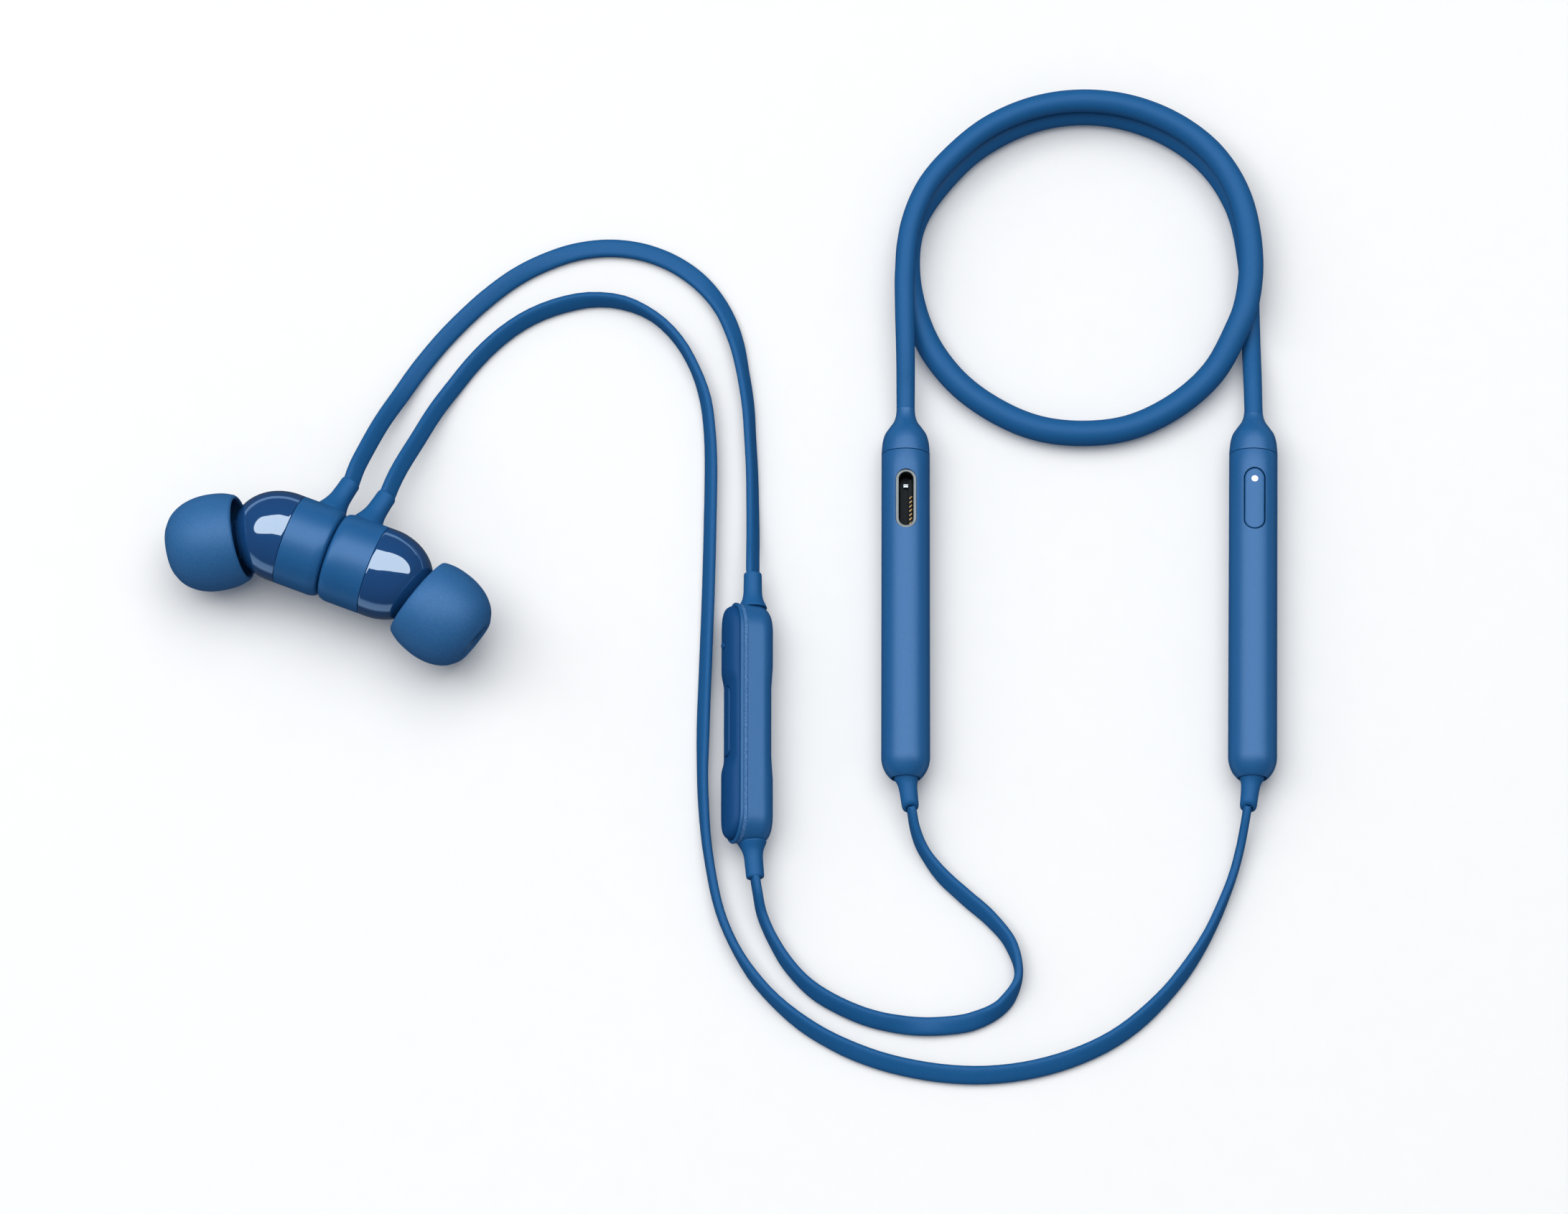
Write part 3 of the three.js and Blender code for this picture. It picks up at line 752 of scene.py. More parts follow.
def crosswise(line: Sequence[Vector], at: int) -> tuple[Vector, Vector]:
    """The directions square to a line at one of its points.

    Args:
        line: The line's points.
        at: The number of the point.

    Returns:
        The level direction across the line, and the one square to both.
    """
    ahead, behind = line[min(at + 1, len(line) - 1)], line[max(at - 1, 0)]
    tangent = (ahead - behind).normalized()
    side = tangent.cross(Vector((0, 0, 1))).normalized()
    return side, side.cross(tangent)


def length_of(points: Sequence[Vector]) -> float:
    """The length of a line of points."""
    return sum((b - a).length for a, b in zip(points, points[1:]))


def tucked(line: list[Vector], reach: float) -> list[Vector]:
    """Carries a line straight on past both its ends, into the parts that hold it.

    Args:
        line: The line's points.
        reach: How far it is carried on.

    Returns:
        The longer line.
    """
    first = line[0] + (line[0] - line[1]).normalized() * reach
    last = line[-1] + (line[-1] - line[-2]).normalized() * reach
    return [first, *line, last]


def between(stops: Sequence[tuple[float, float]], at: float) -> float:
    """The value at a place among stops, eased from stop to stop.

    Args:
        stops: The (place, value) stops, in order.
        at: The place.

    Returns:
        The value there.
    """
    for (x0, y0), (x1, y1) in zip(stops, stops[1:]):
        if at <= x1:
            t = (at - x0) / (x1 - x0)
            return y0 + (y1 - y0) * t * t * (3 - 2 * t)
    return stops[-1][1]


def long_outline(
    half_width: float, half_length: float, end: float, count: int = 24
) -> list[tuple[float, float]]:
    """An outline with straight sides and half-ellipse ends.

    Args:
        half_width: Half its width, along the first coordinate.
        half_length: Half its length, along the second coordinate.
        end: The length of each rounded end.
        count: How many segments each end has.

    Returns:
        The outline's points, in order.
    """
    middle = half_length - end
    out = []
    for sign in (1, -1):
        for i in range(count + 1):
            angle = math.pi * i / count
            out.append(
                (sign * half_width * math.cos(angle), sign * (middle + end * math.sin(angle)))
            )
    return out


def axis_frame(origin: Vector, along: Vector, up: Vector = Vector((0, 0, 1))) -> Matrix:
    """A frame whose Y axis points along a direction and whose Z is as near up as it can be.

    Args:
        origin: The frame's origin, in millimetres.
        along: Its Y axis.
        up: What its Z axis leans towards.

    Returns:
        The frame as a matrix.
    """
    y = along.normalized()
    x = y.cross(up).normalized()
    z = x.cross(y)
    made = Matrix((x, y, z)).transposed().to_4x4()
    made.translation = origin
    return made


def middle_of(node: str) -> Vector:
    """The middle of a node's box, in millimetres."""
    low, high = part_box(node)
    return (low + high) / 2 / MM


def joint_axis(name: str) -> Vector:
    """The axis of one of the frame's joints."""
    return Vector(next(j["axis"] for j in frame["joints"] if j["name"] == name))


def cut(target: bpy.types.Object, tool: bpy.types.Object) -> None:
    """Cuts one object's shape out of another and removes the tool.

    Args:
        target: The object that is cut.
        tool: The object whose shape is taken away.
    """
    modifier = target.modifiers.new("cut", "BOOLEAN")
    modifier.operation = "DIFFERENCE"
    modifier.solver = "EXACT"
    modifier.object = tool
    graph = bpy.context.evaluated_depsgraph_get()
    data = bpy.data.meshes.new_from_object(target.evaluated_get(graph))
    target.modifiers.clear()
    data.set_sharp_from_angle(angle=math.radians(32))
    target.data = data
    bpy.data.objects.remove(tool)


def settle(piece: bpy.types.Object, body: Body, slot: str, *nodes: str) -> None:
    """Rides a finished piece on its body and hides the frame's nodes that it stands for.

    Args:
        piece: The piece.
        body: The body that it moves with.
        slot: The record's material slot; not used.
        nodes: The nodes that it stands for.
    """
    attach(piece, body.value)
    if nodes:
        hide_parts(*nodes)
    LOG.info("piece %s rides on %s", piece.name, body.value)


# ---------------------------------------------------------------- studio


@dataclass
class Studio:
    """The camera, the floor and the soft lights."""

    eye: Point = (0.00806, -0.28526, 0.82471)
    tilt: float = 18.0
    lens: float = 148.35

    def camera(self) -> None:
        """Sets up the camera."""
        data = bpy.data.cameras.new("camera")
        data.lens = self.lens
        data.sensor_width = 36.0
        data.clip_start = 0.01
        camera = bpy.data.objects.new("camera", data)
        camera.location = self.eye
        camera.rotation_euler = (math.radians(self.tilt), 0.0, 0.0)
        bpy.context.scene.collection.objects.link(camera)
        bpy.context.scene.camera = camera

    def floor(self) -> None:
        """Lays the floor a hair under the lowest piece."""
        maker = Mesher()
        reach = 4000.0
        corners = [(x * reach, y * reach, -0.05) for x, y in ((-1, -1), (1, -1), (1, 1), (-1, 1))]
        maker.loft([corners], end=False)
        floor = maker.piece("floor", FloorPaper())
        floor.visible_glossy = False
        floor.visible_diffuse = False

    @staticmethod
    def _panel(name: str, place: Point, size: tuple[float, float], radiance: float) -> None:
        """Hangs a rectangular soft light that faces the object and leaves no reflection.

        Args:
            name: The light's name.
            place: Where it hangs, in metres.
            size: Its width and height, in metres.
            radiance: How bright its face is.
        """
        data = bpy.data.lights.new(name, "AREA")
        data.shape = "RECTANGLE"
        data.size, data.size_y = size
        data.energy = radiance * math.pi * size[0] * size[1]
        lamp = bpy.data.objects.new(name, data)
        lamp.location = place
        lamp.rotation_euler = (-Vector(place)).to_track_quat("-Z", "Y").to_euler()
        lamp.visible_camera = False
        lamp.visible_glossy = False
        bpy.context.scene.collection.objects.link(lamp)

    def lights(self) -> None:
        """Hangs the soft lights."""
        self._panel("sky_panel", (-0.2, 0.35, 1.6), (2.6, 1.8), 2.3)
        self._panel("left_panel", (-1.4, 0.5, 1.1), (1.0, 1.4), 1.2)

    def softbox(self) -> None:
        """Hangs the long softbox with rounded ends that shows only in reflections."""
        place = axis_frame(Vector((0, 620, 1500)), Vector((1, 0, 0)), Vector((0, -0.35, 0.94)))
        outline = [(x, y, 0.0) for x, y in long_outline(900.0, 2450.0, 900.0, 24)]
        panel = Mesher(place).loft([outline], end=False).piece("softbox", SoftboxCloth())
        panel.visible_camera = False
        panel.visible_diffuse = False
        panel.visible_shadow = False

    def world(self) -> None:
        """Sets the even room light, what gloss sees of the room and plain colours."""
        bpy.context.scene.view_settings.view_transform = "Standard"
        world = bpy.data.worlds.new("room")
        bpy.context.scene.world = world
        graph = Graph(world)
        path = graph.node("ShaderNodeLightPath", output="Is Glossy Ray")
        direction = graph.node("ShaderNodeTexCoord", output="Generated")
        height = graph.node("ShaderNodeSeparateXYZ", {}, {0: direction}, 2)
        depth = graph.node("ShaderNodeSeparateXYZ", {}, {0: direction}, 1)
        front = graph.node("ShaderNodeMath", {"operation": "LESS_THAN"}, {0: depth, 1: 0.0})
        low = self._band(graph, height, -0.6, -0.2, 0.08)
        thin = self._band(graph, height, -0.26, -0.08, 0.03)
        glow = front * low + (1.0 - front) * thin
        gloss = graph.mix(glow, (0.05, 0.07, 0.1), (0.5, 0.8, 1.2))
        shown = graph.node(
            "ShaderNodeMix", {"data_type": "RGBA"}, {0: path, 6: (0.36, 0.38, 0.4, 1.0), 7: gloss}, 2
        )
        sky = graph.node("ShaderNodeBackground", {}, {"Color": shown, "Strength": 1.0})
        graph.node("ShaderNodeOutputWorld", {}, {"Surface": sky})

    @staticmethod
    def _band(graph: Graph, height: Value, low: float, high: float, soft: float) -> Value:
        """A mask that is 1 between two heights, with soft edges.

        Args:
            graph: The graph that it is made in.
            height: The height of the direction looked in.
            low: The lower edge.
            high: The upper edge.
            soft: Half the width of each edge.

        Returns:
            The mask.
        """
        def edge(first: float, last: float) -> Value:
            """A smooth step from 0 to 1.

            Args:
                first: Where it starts.
                last: Where it ends.

            Returns:
                The step.
            """
            return graph.node(
                "ShaderNodeMapRange",
                {"interpolation_type": "SMOOTHSTEP"},
                {"Value": height, "From Min": first, "From Max": last, "To Min": 0.0, "To Max": 1.0},
            )

        return edge(low - soft, low + soft) * (1.0 - edge(high - soft, high + soft))

    def build(self) -> None:
        """Builds the whole studio."""
        self.camera()
        self.floor()
        self.lights()
        self.softbox()
        self.world()


# ---------------------------------------------------------------- cables


@dataclass
class EarLead:
    """A flat ear lead that twists a little along its way."""

    name: str
    route: Sequence[Point]
    twist: Sequence[tuple[float, float]]
    width: float = 2.46
    thickness: float = 1.16
    rings: int = 150
    section: int = 28
    tuck: float = 0.7

    def _outline(self) -> list[tuple[float, float]]:
        """The lead's section: flat faces with fully rounded edges.

        Returns:
            The section's points, in order.
        """
        out = []
        power = 2 / 2.9
        for i in range(self.section):
            angle = 2 * math.pi * i / self.section
            c, s = math.cos(angle), math.sin(angle)
            out.append(
                (
                    math.copysign(abs(c) ** power, c) * self.width / 2,
                    math.copysign(abs(s) ** power, s) * self.thickness / 2,
                )
            )
        return out

    def build(self) -> tuple[bpy.types.Object, list[Vector]]:
        """Builds the lead.

        Returns:
            The piece, and its centreline in metres.
        """
        line = tucked(spline(self.route, self.rings), self.tuck)
        outline = self._outline()
        rings = []
        for i, centre in enumerate(line):
            side, normal = crosswise(line, i)
            angle = math.radians(between(self.twist, i / (len(line) - 1)))
            across = side * math.cos(angle) + normal * math.sin(angle)
            over = normal * math.cos(angle) - side * math.sin(angle)
            fit = 0.86 if i in (0, len(line) - 1) else 1.0
            ring = [(across * u + over * v) * fit for u, v in outline]
            centre.z = max(centre.z, -min(offset.z for offset in ring))
            rings.append([centre + offset for offset in ring])
        piece = Mesher().loft(rings).piece(self.name, CABLE, 60)
        return piece, [p * MM for p in line]


@dataclass
class NeckCable:
    """The springy neck cable, wound into one and a half turns."""

    route: Sequence[Point]
    end_radius: float = 1.225
    swell: float = 0.5
    rings: int = 360
    sides: int = 36

    def build(self) -> tuple[bpy.types.Object, list[Vector]]:
        """Builds the cable.

        Returns:
            The piece, and its centreline in metres.
        """
        line = tucked(spline(self.route, self.rings), 1.0)
        rings = []
        for i, centre in enumerate(line):
            side, normal = crosswise(line, i)
            radius = self.end_radius + self.swell * math.sin(math.pi * i / (len(line) - 1))
            ring = []
            for k in range(self.sides):
                angle = 2 * math.pi * k / self.sides
                ring.append(centre + (side * math.cos(angle) + normal * math.sin(angle)) * radius)
            rings.append(ring)
        piece = Mesher().loft(rings).piece("neck_cable", SILICONE, 60)
        return piece, [p * MM for p in line]


@dataclass
class Cabling:
    """All the cables, on the frame's own routes."""

    neck_route: Sequence[Point] = field(default_factory=lambda: NECK_ROUTE)

    def build(self) -> None:
        """Builds every cable."""
        piece, line = NeckCable(self.neck_route).build()
        settle(piece, Body.ROOT, "silicone", "neckband_jacket")
        line[0]
        length_of(line)
        for name, route, twist in (
            ("left_lead_upper_part", UPPER_ROUTE, UPPER_TWIST),
            ("left_lead_lower_part", LOWER_ROUTE, LOWER_TWIST),
            ("right_lead_part", RIGHT_ROUTE, RIGHT_TWIST),
        ):
            piece, line = EarLead(name, route, twist).build()
            node = name.removesuffix("_part")
            if node == "right_lead":
                line[2]
                line[60]
                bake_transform(piece)
                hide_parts(node)
            else:
                settle(piece, Body.ROOT, "cable", node)
            line[0]
            length_of(line)


# ---------------------------------------------------------------- capsules


@dataclass
class Capsule:
    """One rigid module on an end of the neck cable, along its own -Y from the seam."""

    side: Side
    second: str
    lean: float
    radius: float = 3.25
    wall: float = 0.6
    straight: float = 42.3
    dome: float = 3.75
    hole: float = 1.98
    fitting: float = -7.04
    crimp_depth: float = 1.725
    tail_at: float = -44.0

    def place(self) -> Matrix:
        """The capsule's frame, from the crimp and a second part on its axis.

        Returns:
            The frame, with its origin at the seam.
        """
        crimp = middle_of(f"{self.side.word}_wire_crimp")
        other = middle_of(self.second)
        other.z = crimp.z
        along = crimp - other
        return axis_frame(crimp + along.normalized() * self.crimp_depth, along)

    def shell(self, mouth: tuple[float, float]) -> None:
        """Builds the shell, with its mouth for the port or the button.

        Args:
            mouth: The width and the length of the opening.
        """
        inner = self.radius - self.wall
        last = math.acos(self.hole / self.radius)
        outside = [
            (
                self.radius * math.cos(last * i / 22),
                -self.straight - self.dome * math.sin(last * i / 22),
            )
            for i in range(23)
        ]
        rim = outside[-1][1]
        walls = [(self.radius, -self.straight * i / 20) for i in range(1, 20)]
        profile = [
            (inner, 0.0),
            (self.radius - 0.07, 0.0),
            (self.radius - 0.02, -0.02),
            (self.radius, -0.07),
            *walls,
            *outside,
            (self.hole - 0.05, rim - 0.02),
            (self.hole - 0.1, rim + 0.03),
            (self.hole - 0.12, rim + 0.12),
            (self.hole - 0.12, -self.straight - 1.2),
            (inner, -self.straight - 0.4),
        ]
        maker = Mesher(self.place()).turned(profile, 112, True)
        shell = maker.piece(f"{self.side.word}_shell", SOFT_TOUCH)
        outline = long_outline(mouth[0] / 2, mouth[1] / 2, mouth[0] / 2, 20)
        rings = [[(x, y + self.fitting, z) for x, y in outline] for z in (1.0, 5.0)]
        cut(shell, Mesher(self.place()).loft(rings).piece("cutter", SOFT_TOUCH))
        settle(shell, Body.ROOT, "soft_touch", f"{self.side.word}_capsule_shell")

    def neck_boot(self) -> None:
        """Builds the shoulder between the seam and the neck cable."""
        curve = [
            (3.25, 0.13), (3.235, 0.5), (3.2, 1.0), (3.08, 2.0), (2.8, 2.95), (2.22, 3.87),
            (1.62, 4.77), (1.36, 5.5), (1.26, 6.1),
        ]
        profile = [
            (2.4, -0.7), (2.4, 0.06), (3.19, 0.06), (3.23, 0.08),
            *smoothed(curve, 44),
            (1.238, 6.5), (1.232, 6.8), (1.1, 6.82), (1.1, -0.7),
        ]
        maker = Mesher(self.place()).turned(profile, 96, True)
        boot = maker.piece(f"{self.side.word}_shoulder", SOFT_TOUCH)
        settle(boot, Body.ROOT, "soft_touch", f"{self.side.word}_neck_boot")

    def tail_boot(self) -> None:
        """Builds the strain relief of the ear lead, with its end cut on a slant."""
        turn = Matrix.Rotation(math.radians(self.lean), 4, "Z")
        place = self.place() @ Matrix.Translation((0, self.tail_at, 0)) @ turn
        profile = [
            (0.0, 0.6), (1.66, 0.6), (1.7, -0.6), (1.7, -1.1), (1.62, -1.35), (1.42, -1.75),
            (1.27, -2.3), (1.2, -3.0), (1.16, -4.2), (1.14, -5.0), (1.08, -5.25), (0.9, -5.42),
            (0.66, -5.46), (0.64, -4.9), (0.0, -4.8),
        ]
        maker = Mesher(place).turned(profile, 64)
        back = place.inverted()
        for vert in maker.mesh.verts:
            local = back @ (vert.co / MM)
            if local.y < -3.4:
                local.y += 0.42 * local.z * min(1.0, (-3.4 - local.y) / 1.6)
                vert.co = (place @ local) * MM
        boot = maker.piece(f"{self.side.word}_tail", SILICONE, 40)
        settle(boot, Body.ROOT, "silicone", f"{self.side.word}_tail_boot")

    def build(self, mouth: tuple[float, float]) -> Matrix:
        """Builds the capsule.

        Args:
            mouth: The width and the length of the opening.

        Returns:
            The frame of the fitting in that opening.
        """
        self.shell(mouth)
        self.neck_boot()
        self.tail_boot()
        return self.place() @ Matrix.Translation((0, self.fitting, 0))


@dataclass
class ChargePort:
    """The charging receptacle in the left capsule."""

    place: Matrix
    width: float = 2.76
    length: float = 8.3
    rim: float = 0.4
    top: float = 3.06
    contacts: int = 7
    pitch: float = 0.6

    def _ring(self, inset: float, height: float) -> list[Point]:
        """The receptacle's outline, moved inwards, at a height."""
        half = self.width / 2 - inset
        return [(x, y, height) for x, y in long_outline(half, self.length / 2 - inset, half, 20)]

    def shell(self) -> None:
        """Builds the metal receptacle with its softened rim."""
        rings = [
            self._ring(0.0, -1.9),
            self._ring(0.0, self.top - 0.07),
            self._ring(0.03, self.top - 0.02),
            self._ring(0.08, self.top),
            self._ring(self.rim - 0.08, self.top),
            self._ring(self.rim - 0.02, self.top - 0.03),
            self._ring(self.rim, self.top - 0.1),
            self._ring(self.rim, -1.9),
        ]
        shell = Mesher(self.place).loft(rings, around=True).piece("port_shell", BRIGHT_METAL)
        settle(shell, Body.ROOT, "bright_metal", "charge_port_shell")

    def insert(self) -> None:
        """Builds the dark insert: its lining, floor and ledge."""
        maker = Mesher(self.place)
        lip = self.rim + 0.02
        maker.loft(
            [
                self._ring(lip, -1.8),
                self._ring(lip, 2.5),
                self._ring(lip + 0.07, 2.55),
                self._ring(lip + 0.12, 2.45),
                self._ring(lip + 0.12, 1.2),
                self._ring(lip + 0.2, 1.1),
            ]
        )
        ledge = [(x + 0.62, y, 0.0) for x, y in long_outline(0.24, 3.1, 0.2, 6)]
        maker.loft([[(x, y, z) for x, y, _ in ledge] for z in (0.9, 1.75)])
        insert = maker.piece("port_insert", BLACK_PLASTIC)
        settle(insert, Body.ROOT, "black_plastic", "charge_port_insert")

    def comb(self) -> None:
        """Builds the slanted spring contacts, and the latch's two springs."""
        maker = Mesher(self.place)
        for i in range(self.contacts):
            y = 0.5 - i * self.pitch
            lean = Vector((0.17, 0.16, 0.0))
            across = Vector((-0.045, 0.048, 0.0))
            centre = Vector((0.64, y, 1.8))
            corners = [centre - lean - across, centre + lean - across]
            corners += [centre + lean + across, centre - lean + across]
            maker.loft([[c + Vector((0, 0, z)) for c in corners] for z in (-0.1, 0.06)])
        comb = maker.piece("port_contacts", GOLD)
        settle(comb, Body.ROOT, "gold", "charge_port_contacts")
        latch = Mesher(self.place)
        for y in (2.3, 2.05):
            bar = ((-0.33, y), (0.27, y), (0.3, y + 0.12), (-0.3, y + 0.12))
            latch.loft([[(x, v, z) for x, v in bar] for z in (1.3, 1.6)])
        settle(latch.piece("port_latch", STEEL), Body.ROOT, "steel")

    def build(self) -> None:
        """Builds the receptacle."""
        self.shell()
        self.insert()
        self.comb()


@dataclass
class PowerButton:
    """The power key in the right capsule, with its status light."""

    place: Matrix
    width: float = 2.66
    length: float = 8.5
    radius: float = 3.25
    light: float = 0.46
    light_at: float = 2.75

    def _ring(self, inset: float, drop: float) -> list[Point]:
        """One ring of the key, which follows the capsule's round surface.

        Args:
            inset: How far it is moved inwards.
            drop: How far it lies below the capsule's surface.

        Returns:
            The ring's points.
        """
        half = self.width / 2 - inset
        outline = long_outline(half, self.length / 2 - inset, half, 24)
        return [(x, y, math.sqrt(self.radius**2 - x * x) - 0.03 - drop) for x, y in outline]

    def build(self) -> None:
        """Builds the key and its light."""
        flange = ((-0.3, 1.25), (-0.3, 0.85), (0, 0.8))
        wall = ((0, 0.14), (0.03, 0.06), (0.08, 0.015), (0.16, 0.0))
        rings = [self._ring(*step) for step in flange + wall]
        rings += [self._ring(inset, 0.0) for inset in (0.4, 0.7, 1.0, 1.22, 1.31)]
        key = Mesher(self.place).loft(rings).piece("power_key_cap", SOFT_TOUCH)
        settle(key, Body.POWER, "soft_touch", "power_button")
        turn = Matrix.Rotation(math.radians(90), 4, "X")
        up = self.place @ Matrix.Translation((0, self.light_at, 0)) @ turn
        top, foot = self.radius, self.radius - 1.2
        profile = filleted(
            [(0, foot, 0), (self.light, foot, 0), (self.light, top, 0.12), (0, top + 0.02, 0)]
        )
        light = Mesher(up).turned(profile, 48).piece("status_window", LightPipe())
        settle(light, Body.POWER, "light_pipe", "status_light")


# ---------------------------------------------------------------- remote


@dataclass
class Remote:
    """The inline remote: back, gasket, bezel, volume pad and centre key."""

    half_width: float = 3.0
    half_length: float = 16.65
    end: float = 4.0
    back: float = 2.42
    rounding: float = 2.2
    split: float = -1.78
    bezel_back: float = -2.38
    bezel_front: float = -2.8
    pad_half_width: float = 2.5
    pad_straight: float = 12.5
    pad_end: float = 3.65
    pad_crown: float = 1.35
    pad_waist: float = 0.85
    board_drop: float = 0.06

    def place(self) -> Matrix:
        """The remote's frame.

        Returns:
            The frame; X is its width, Y its length and Z its depth, + towards its back.
        """
        depth = joint_axis("centre_press").normalized()
        origin = middle_of("remote_board") - depth * self.board_drop
        along = Vector((0, 1, 0))
        made = Matrix((along.cross(depth), along, depth)).transposed().to_4x4()
        made.translation = origin
        return made

    def _ring(self, inset: float, depth: float) -> list[Point]:
        """The remote's outline at a depth.

        Args:
            inset: How far it is moved inwards.
            depth: The depth that it lies at.

        Returns:
            The outline's points.
        """
        width, length = self.half_width - inset, self.half_length - inset
        return [(x, y, depth) for x, y in long_outline(width, length, self.end - inset, 28)]

    @staticmethod
    def _refined(ring: list[Point], parts: int = 16) -> list[Point]:
        """Divides the long straight sides of a ring.

        Args:
            ring: The ring.
            parts: How many parts each long side gets.

        Returns:
            The finer ring.
        """
        out: list[Point] = []
        for a, b in zip(ring, ring[1:] + ring[:1]):
            out.append(a)
            if (Vector(b) - Vector(a)).length > 8:
                out += [tuple(Vector(a).lerp(Vector(b), i / parts)) for i in range(1, parts)]
        return out

    def back_shell(self) -> None:
        """Builds the rounded back half."""
        r = self.rounding
        rings = [self._ring(0.45, self.split + 0.3), self._ring(0.45, self.split)]
        rings += [self._ring(0.06, self.split), self._ring(0.0, self.split + 0.07)]
        rings.append(self._ring(0.0, 0.0))
        for i in range(13):
            angle = math.pi / 2 * i / 13
            rings.append(self._ring(r * (1 - math.cos(angle)), self.back - r + r * math.sin(angle)))
        rings += [self._ring(r, self.back), self._ring(self.half_width - 0.1, self.back)]
        shaped = []
        for ring in rings:
            waist = []
            for x, y, z in self._refined(ring):
                pinch = between([(0, 1), (4.6, 1), (8.2, 0), (20, 0)], abs(y))
                share = max(0.0, (z - 0.3) / (self.back - 0.3))
                waist.append((x, y, z - 0.24 * pinch * share))
            shaped.append(waist)
        shell = Mesher(self.place()).loft(shaped).piece("remote_back", SOFT_TOUCH)
        settle(shell, Body.ROOT, "soft_touch", "remote_back_shell")

    def _band(
        self, name: str, finish: Any, inset: float, low: float, high: float, edge: float
    ) -> bpy.types.Object:
        """Builds a ring that follows the outline between two depths.

        Args:
            name: The piece's name.
            finish: Its finish.
            inset: How far its wall stands inside the outline.
            low: Its first depth.
            high: Its last depth.
            edge: How far its edges are broken.

        Returns:
            The piece.
        """
        rings = [
            self._ring(0.42, low),
            self._ring(inset + edge, low),
            self._ring(inset, low + edge),
            self._ring(inset, high - edge),
            self._ring(inset + edge, high),
            self._ring(0.42, high),
        ]
        return Mesher(self.place()).loft(rings, around=True).piece(name, finish)

    def _pad_half_width(self, y: float) -> float:
        """Half the pad's width at a place along it.

        Args:
            y: The place, from the pad's middle.

        Returns:
            Half the width.
        """
        beyond = max(0.0, abs(y) - self.pad_straight) / self.pad_end
        return self.pad_half_width * max(0.0, 1 - beyond**2.2) ** 0.5

    def _pad_crown(self, y: float) -> float:
        """The pad's height at a place along it.

        Args:
            y: The place, from the pad's middle.

        Returns:
            The height over the bezel, lower along the waist.
        """
        waist, full = self.pad_waist, self.pad_crown
        crown = between([(0, waist), (4.9, waist), (7.1, full), (20, full)], abs(y))
        beyond = max(0.0, abs(y) - self.pad_straight) / self.pad_end
        return crown * math.sqrt(max(0.0, 1 - beyond**6))

    def pad(self) -> None:
        """Builds the pad over both volume switches."""
        half = [0.4, 2, 3.5, 4.6, 5.0, 5.4, 5.8, 6.2, 6.6, 7.0, 7.4, 8.5, 10, 11.5, 12.5]
        for angle in (12, 24, 36, 48, 58, 66, 73, 79, 84, 88):
            half.append(self.pad_straight + self.pad_end * math.sin(math.radians(angle)))
        rings = []
        for y in [-v for v in reversed(half)] + half:
            a, crown = self._pad_half_width(y), self._pad_crown(y)
            ring = [(-a, y, -2.2), (a, y, -2.2)]
            for i in range(25):
                angle = math.pi * i / 24
                ring.append((a * math.cos(angle), y, self.bezel_front - crown * math.sin(angle)))
            rings.append(ring)
        maker = Mesher(self.place()).loft(rings)
        pad = maker.piece("volume_rocker", KEYPAD_PAINTED_SHADE, 50)
        outline = long_outline(1.02, 4.92, 1.02, 16)
        slot = [[(x, y, z) for x, y in outline] for z in (-6, -1)]
        cut(pad, Mesher(self.place()).loft(slot).piece("cutter", KEYPAD_PAINTED_SHADE))
        nub_at = Matrix.Translation((0, 10.5, self.bezel_front - self.pad_crown - 0.02))
        nub = Mesher(self.place() @ nub_at @ Matrix.Rotation(math.radians(-90), 4, "X"))
        steps = [t * math.pi / 16 for t in range(8)]
        nub.turned([(0.42 * math.cos(t), 0.34 * math.sin(t)) for t in steps] + [(0, 0.34)], 32)
        dot = nub.piece("volume_nub", KEYPAD_PAINTED_SHADE)
        settle(pad, Body.VOLUME, "keypad", "volume_pad")
        settle(dot, Body.VOLUME, "keypad")

    def centre(self) -> None:
        """Builds the bar in the pad's waist."""
        rings = []
        wall = ((0.0, -2.2), (0.0, -3.62), (0.04, -3.72), (0.1, -3.78))
        face = ((0.2, -3.8), (0.5, -3.8), (0.85, -3.8))
        for inset, depth in wall + face:
            half = 0.9 - inset
            rings.append([(x, y, depth) for x, y in long_outline(half, 4.8 - inset, half, 16)])
        key = Mesher(self.place()).loft(rings).piece("centre_bar", KEYPAD_PAINTED_SHADE)
        settle(key, Body.CENTRE, "keypad", "centre_key")

    def boot(self, name: str, sign: int, lean: float, node: str) -> None:
        """Builds the boot around the lead at one end.

        Args:
            name: The piece's name.
            sign: 1 for the upper end and -1 for the lower one.
            lean: How far it leans, in degrees.
            node: The node that it stands for.
        """
        turn = Matrix.Rotation(math.radians(lean), 4, "Z")
        flip = Matrix.Rotation(math.pi if sign < 0 else 0.0, 4, "Z")
        place = self._lead_frame() @ Matrix.Translation((0, sign * self.half_length, 0)) @ flip @ turn
        profile = filleted(
            [
                (0.0, -0.4, 0), (1.9, -0.4, 0), (1.9, -0.25, 0.2), (1.4, 0.75, 0.8),
                (1.25, 1.6, 0.6), (1.22, 3.2, 0.5), (1.2, 4.5, 0.35), (0.66, 4.62, 0.1),
                (0.62, 4.0, 0), (0.0, 4.0, 0),
            ]
        )
        boot = Mesher(place).turned(profile, 64).piece(name, SILICONE, 40)
        settle(boot, Body.ROOT, "silicone", node)

    def _lead_frame(self) -> Matrix:
        """The frame of the leads' axis, level with the floor.

        Returns:
            The frame.
        """
        made = Matrix.Identity(4)
        made.translation = self.place().translation
        return made

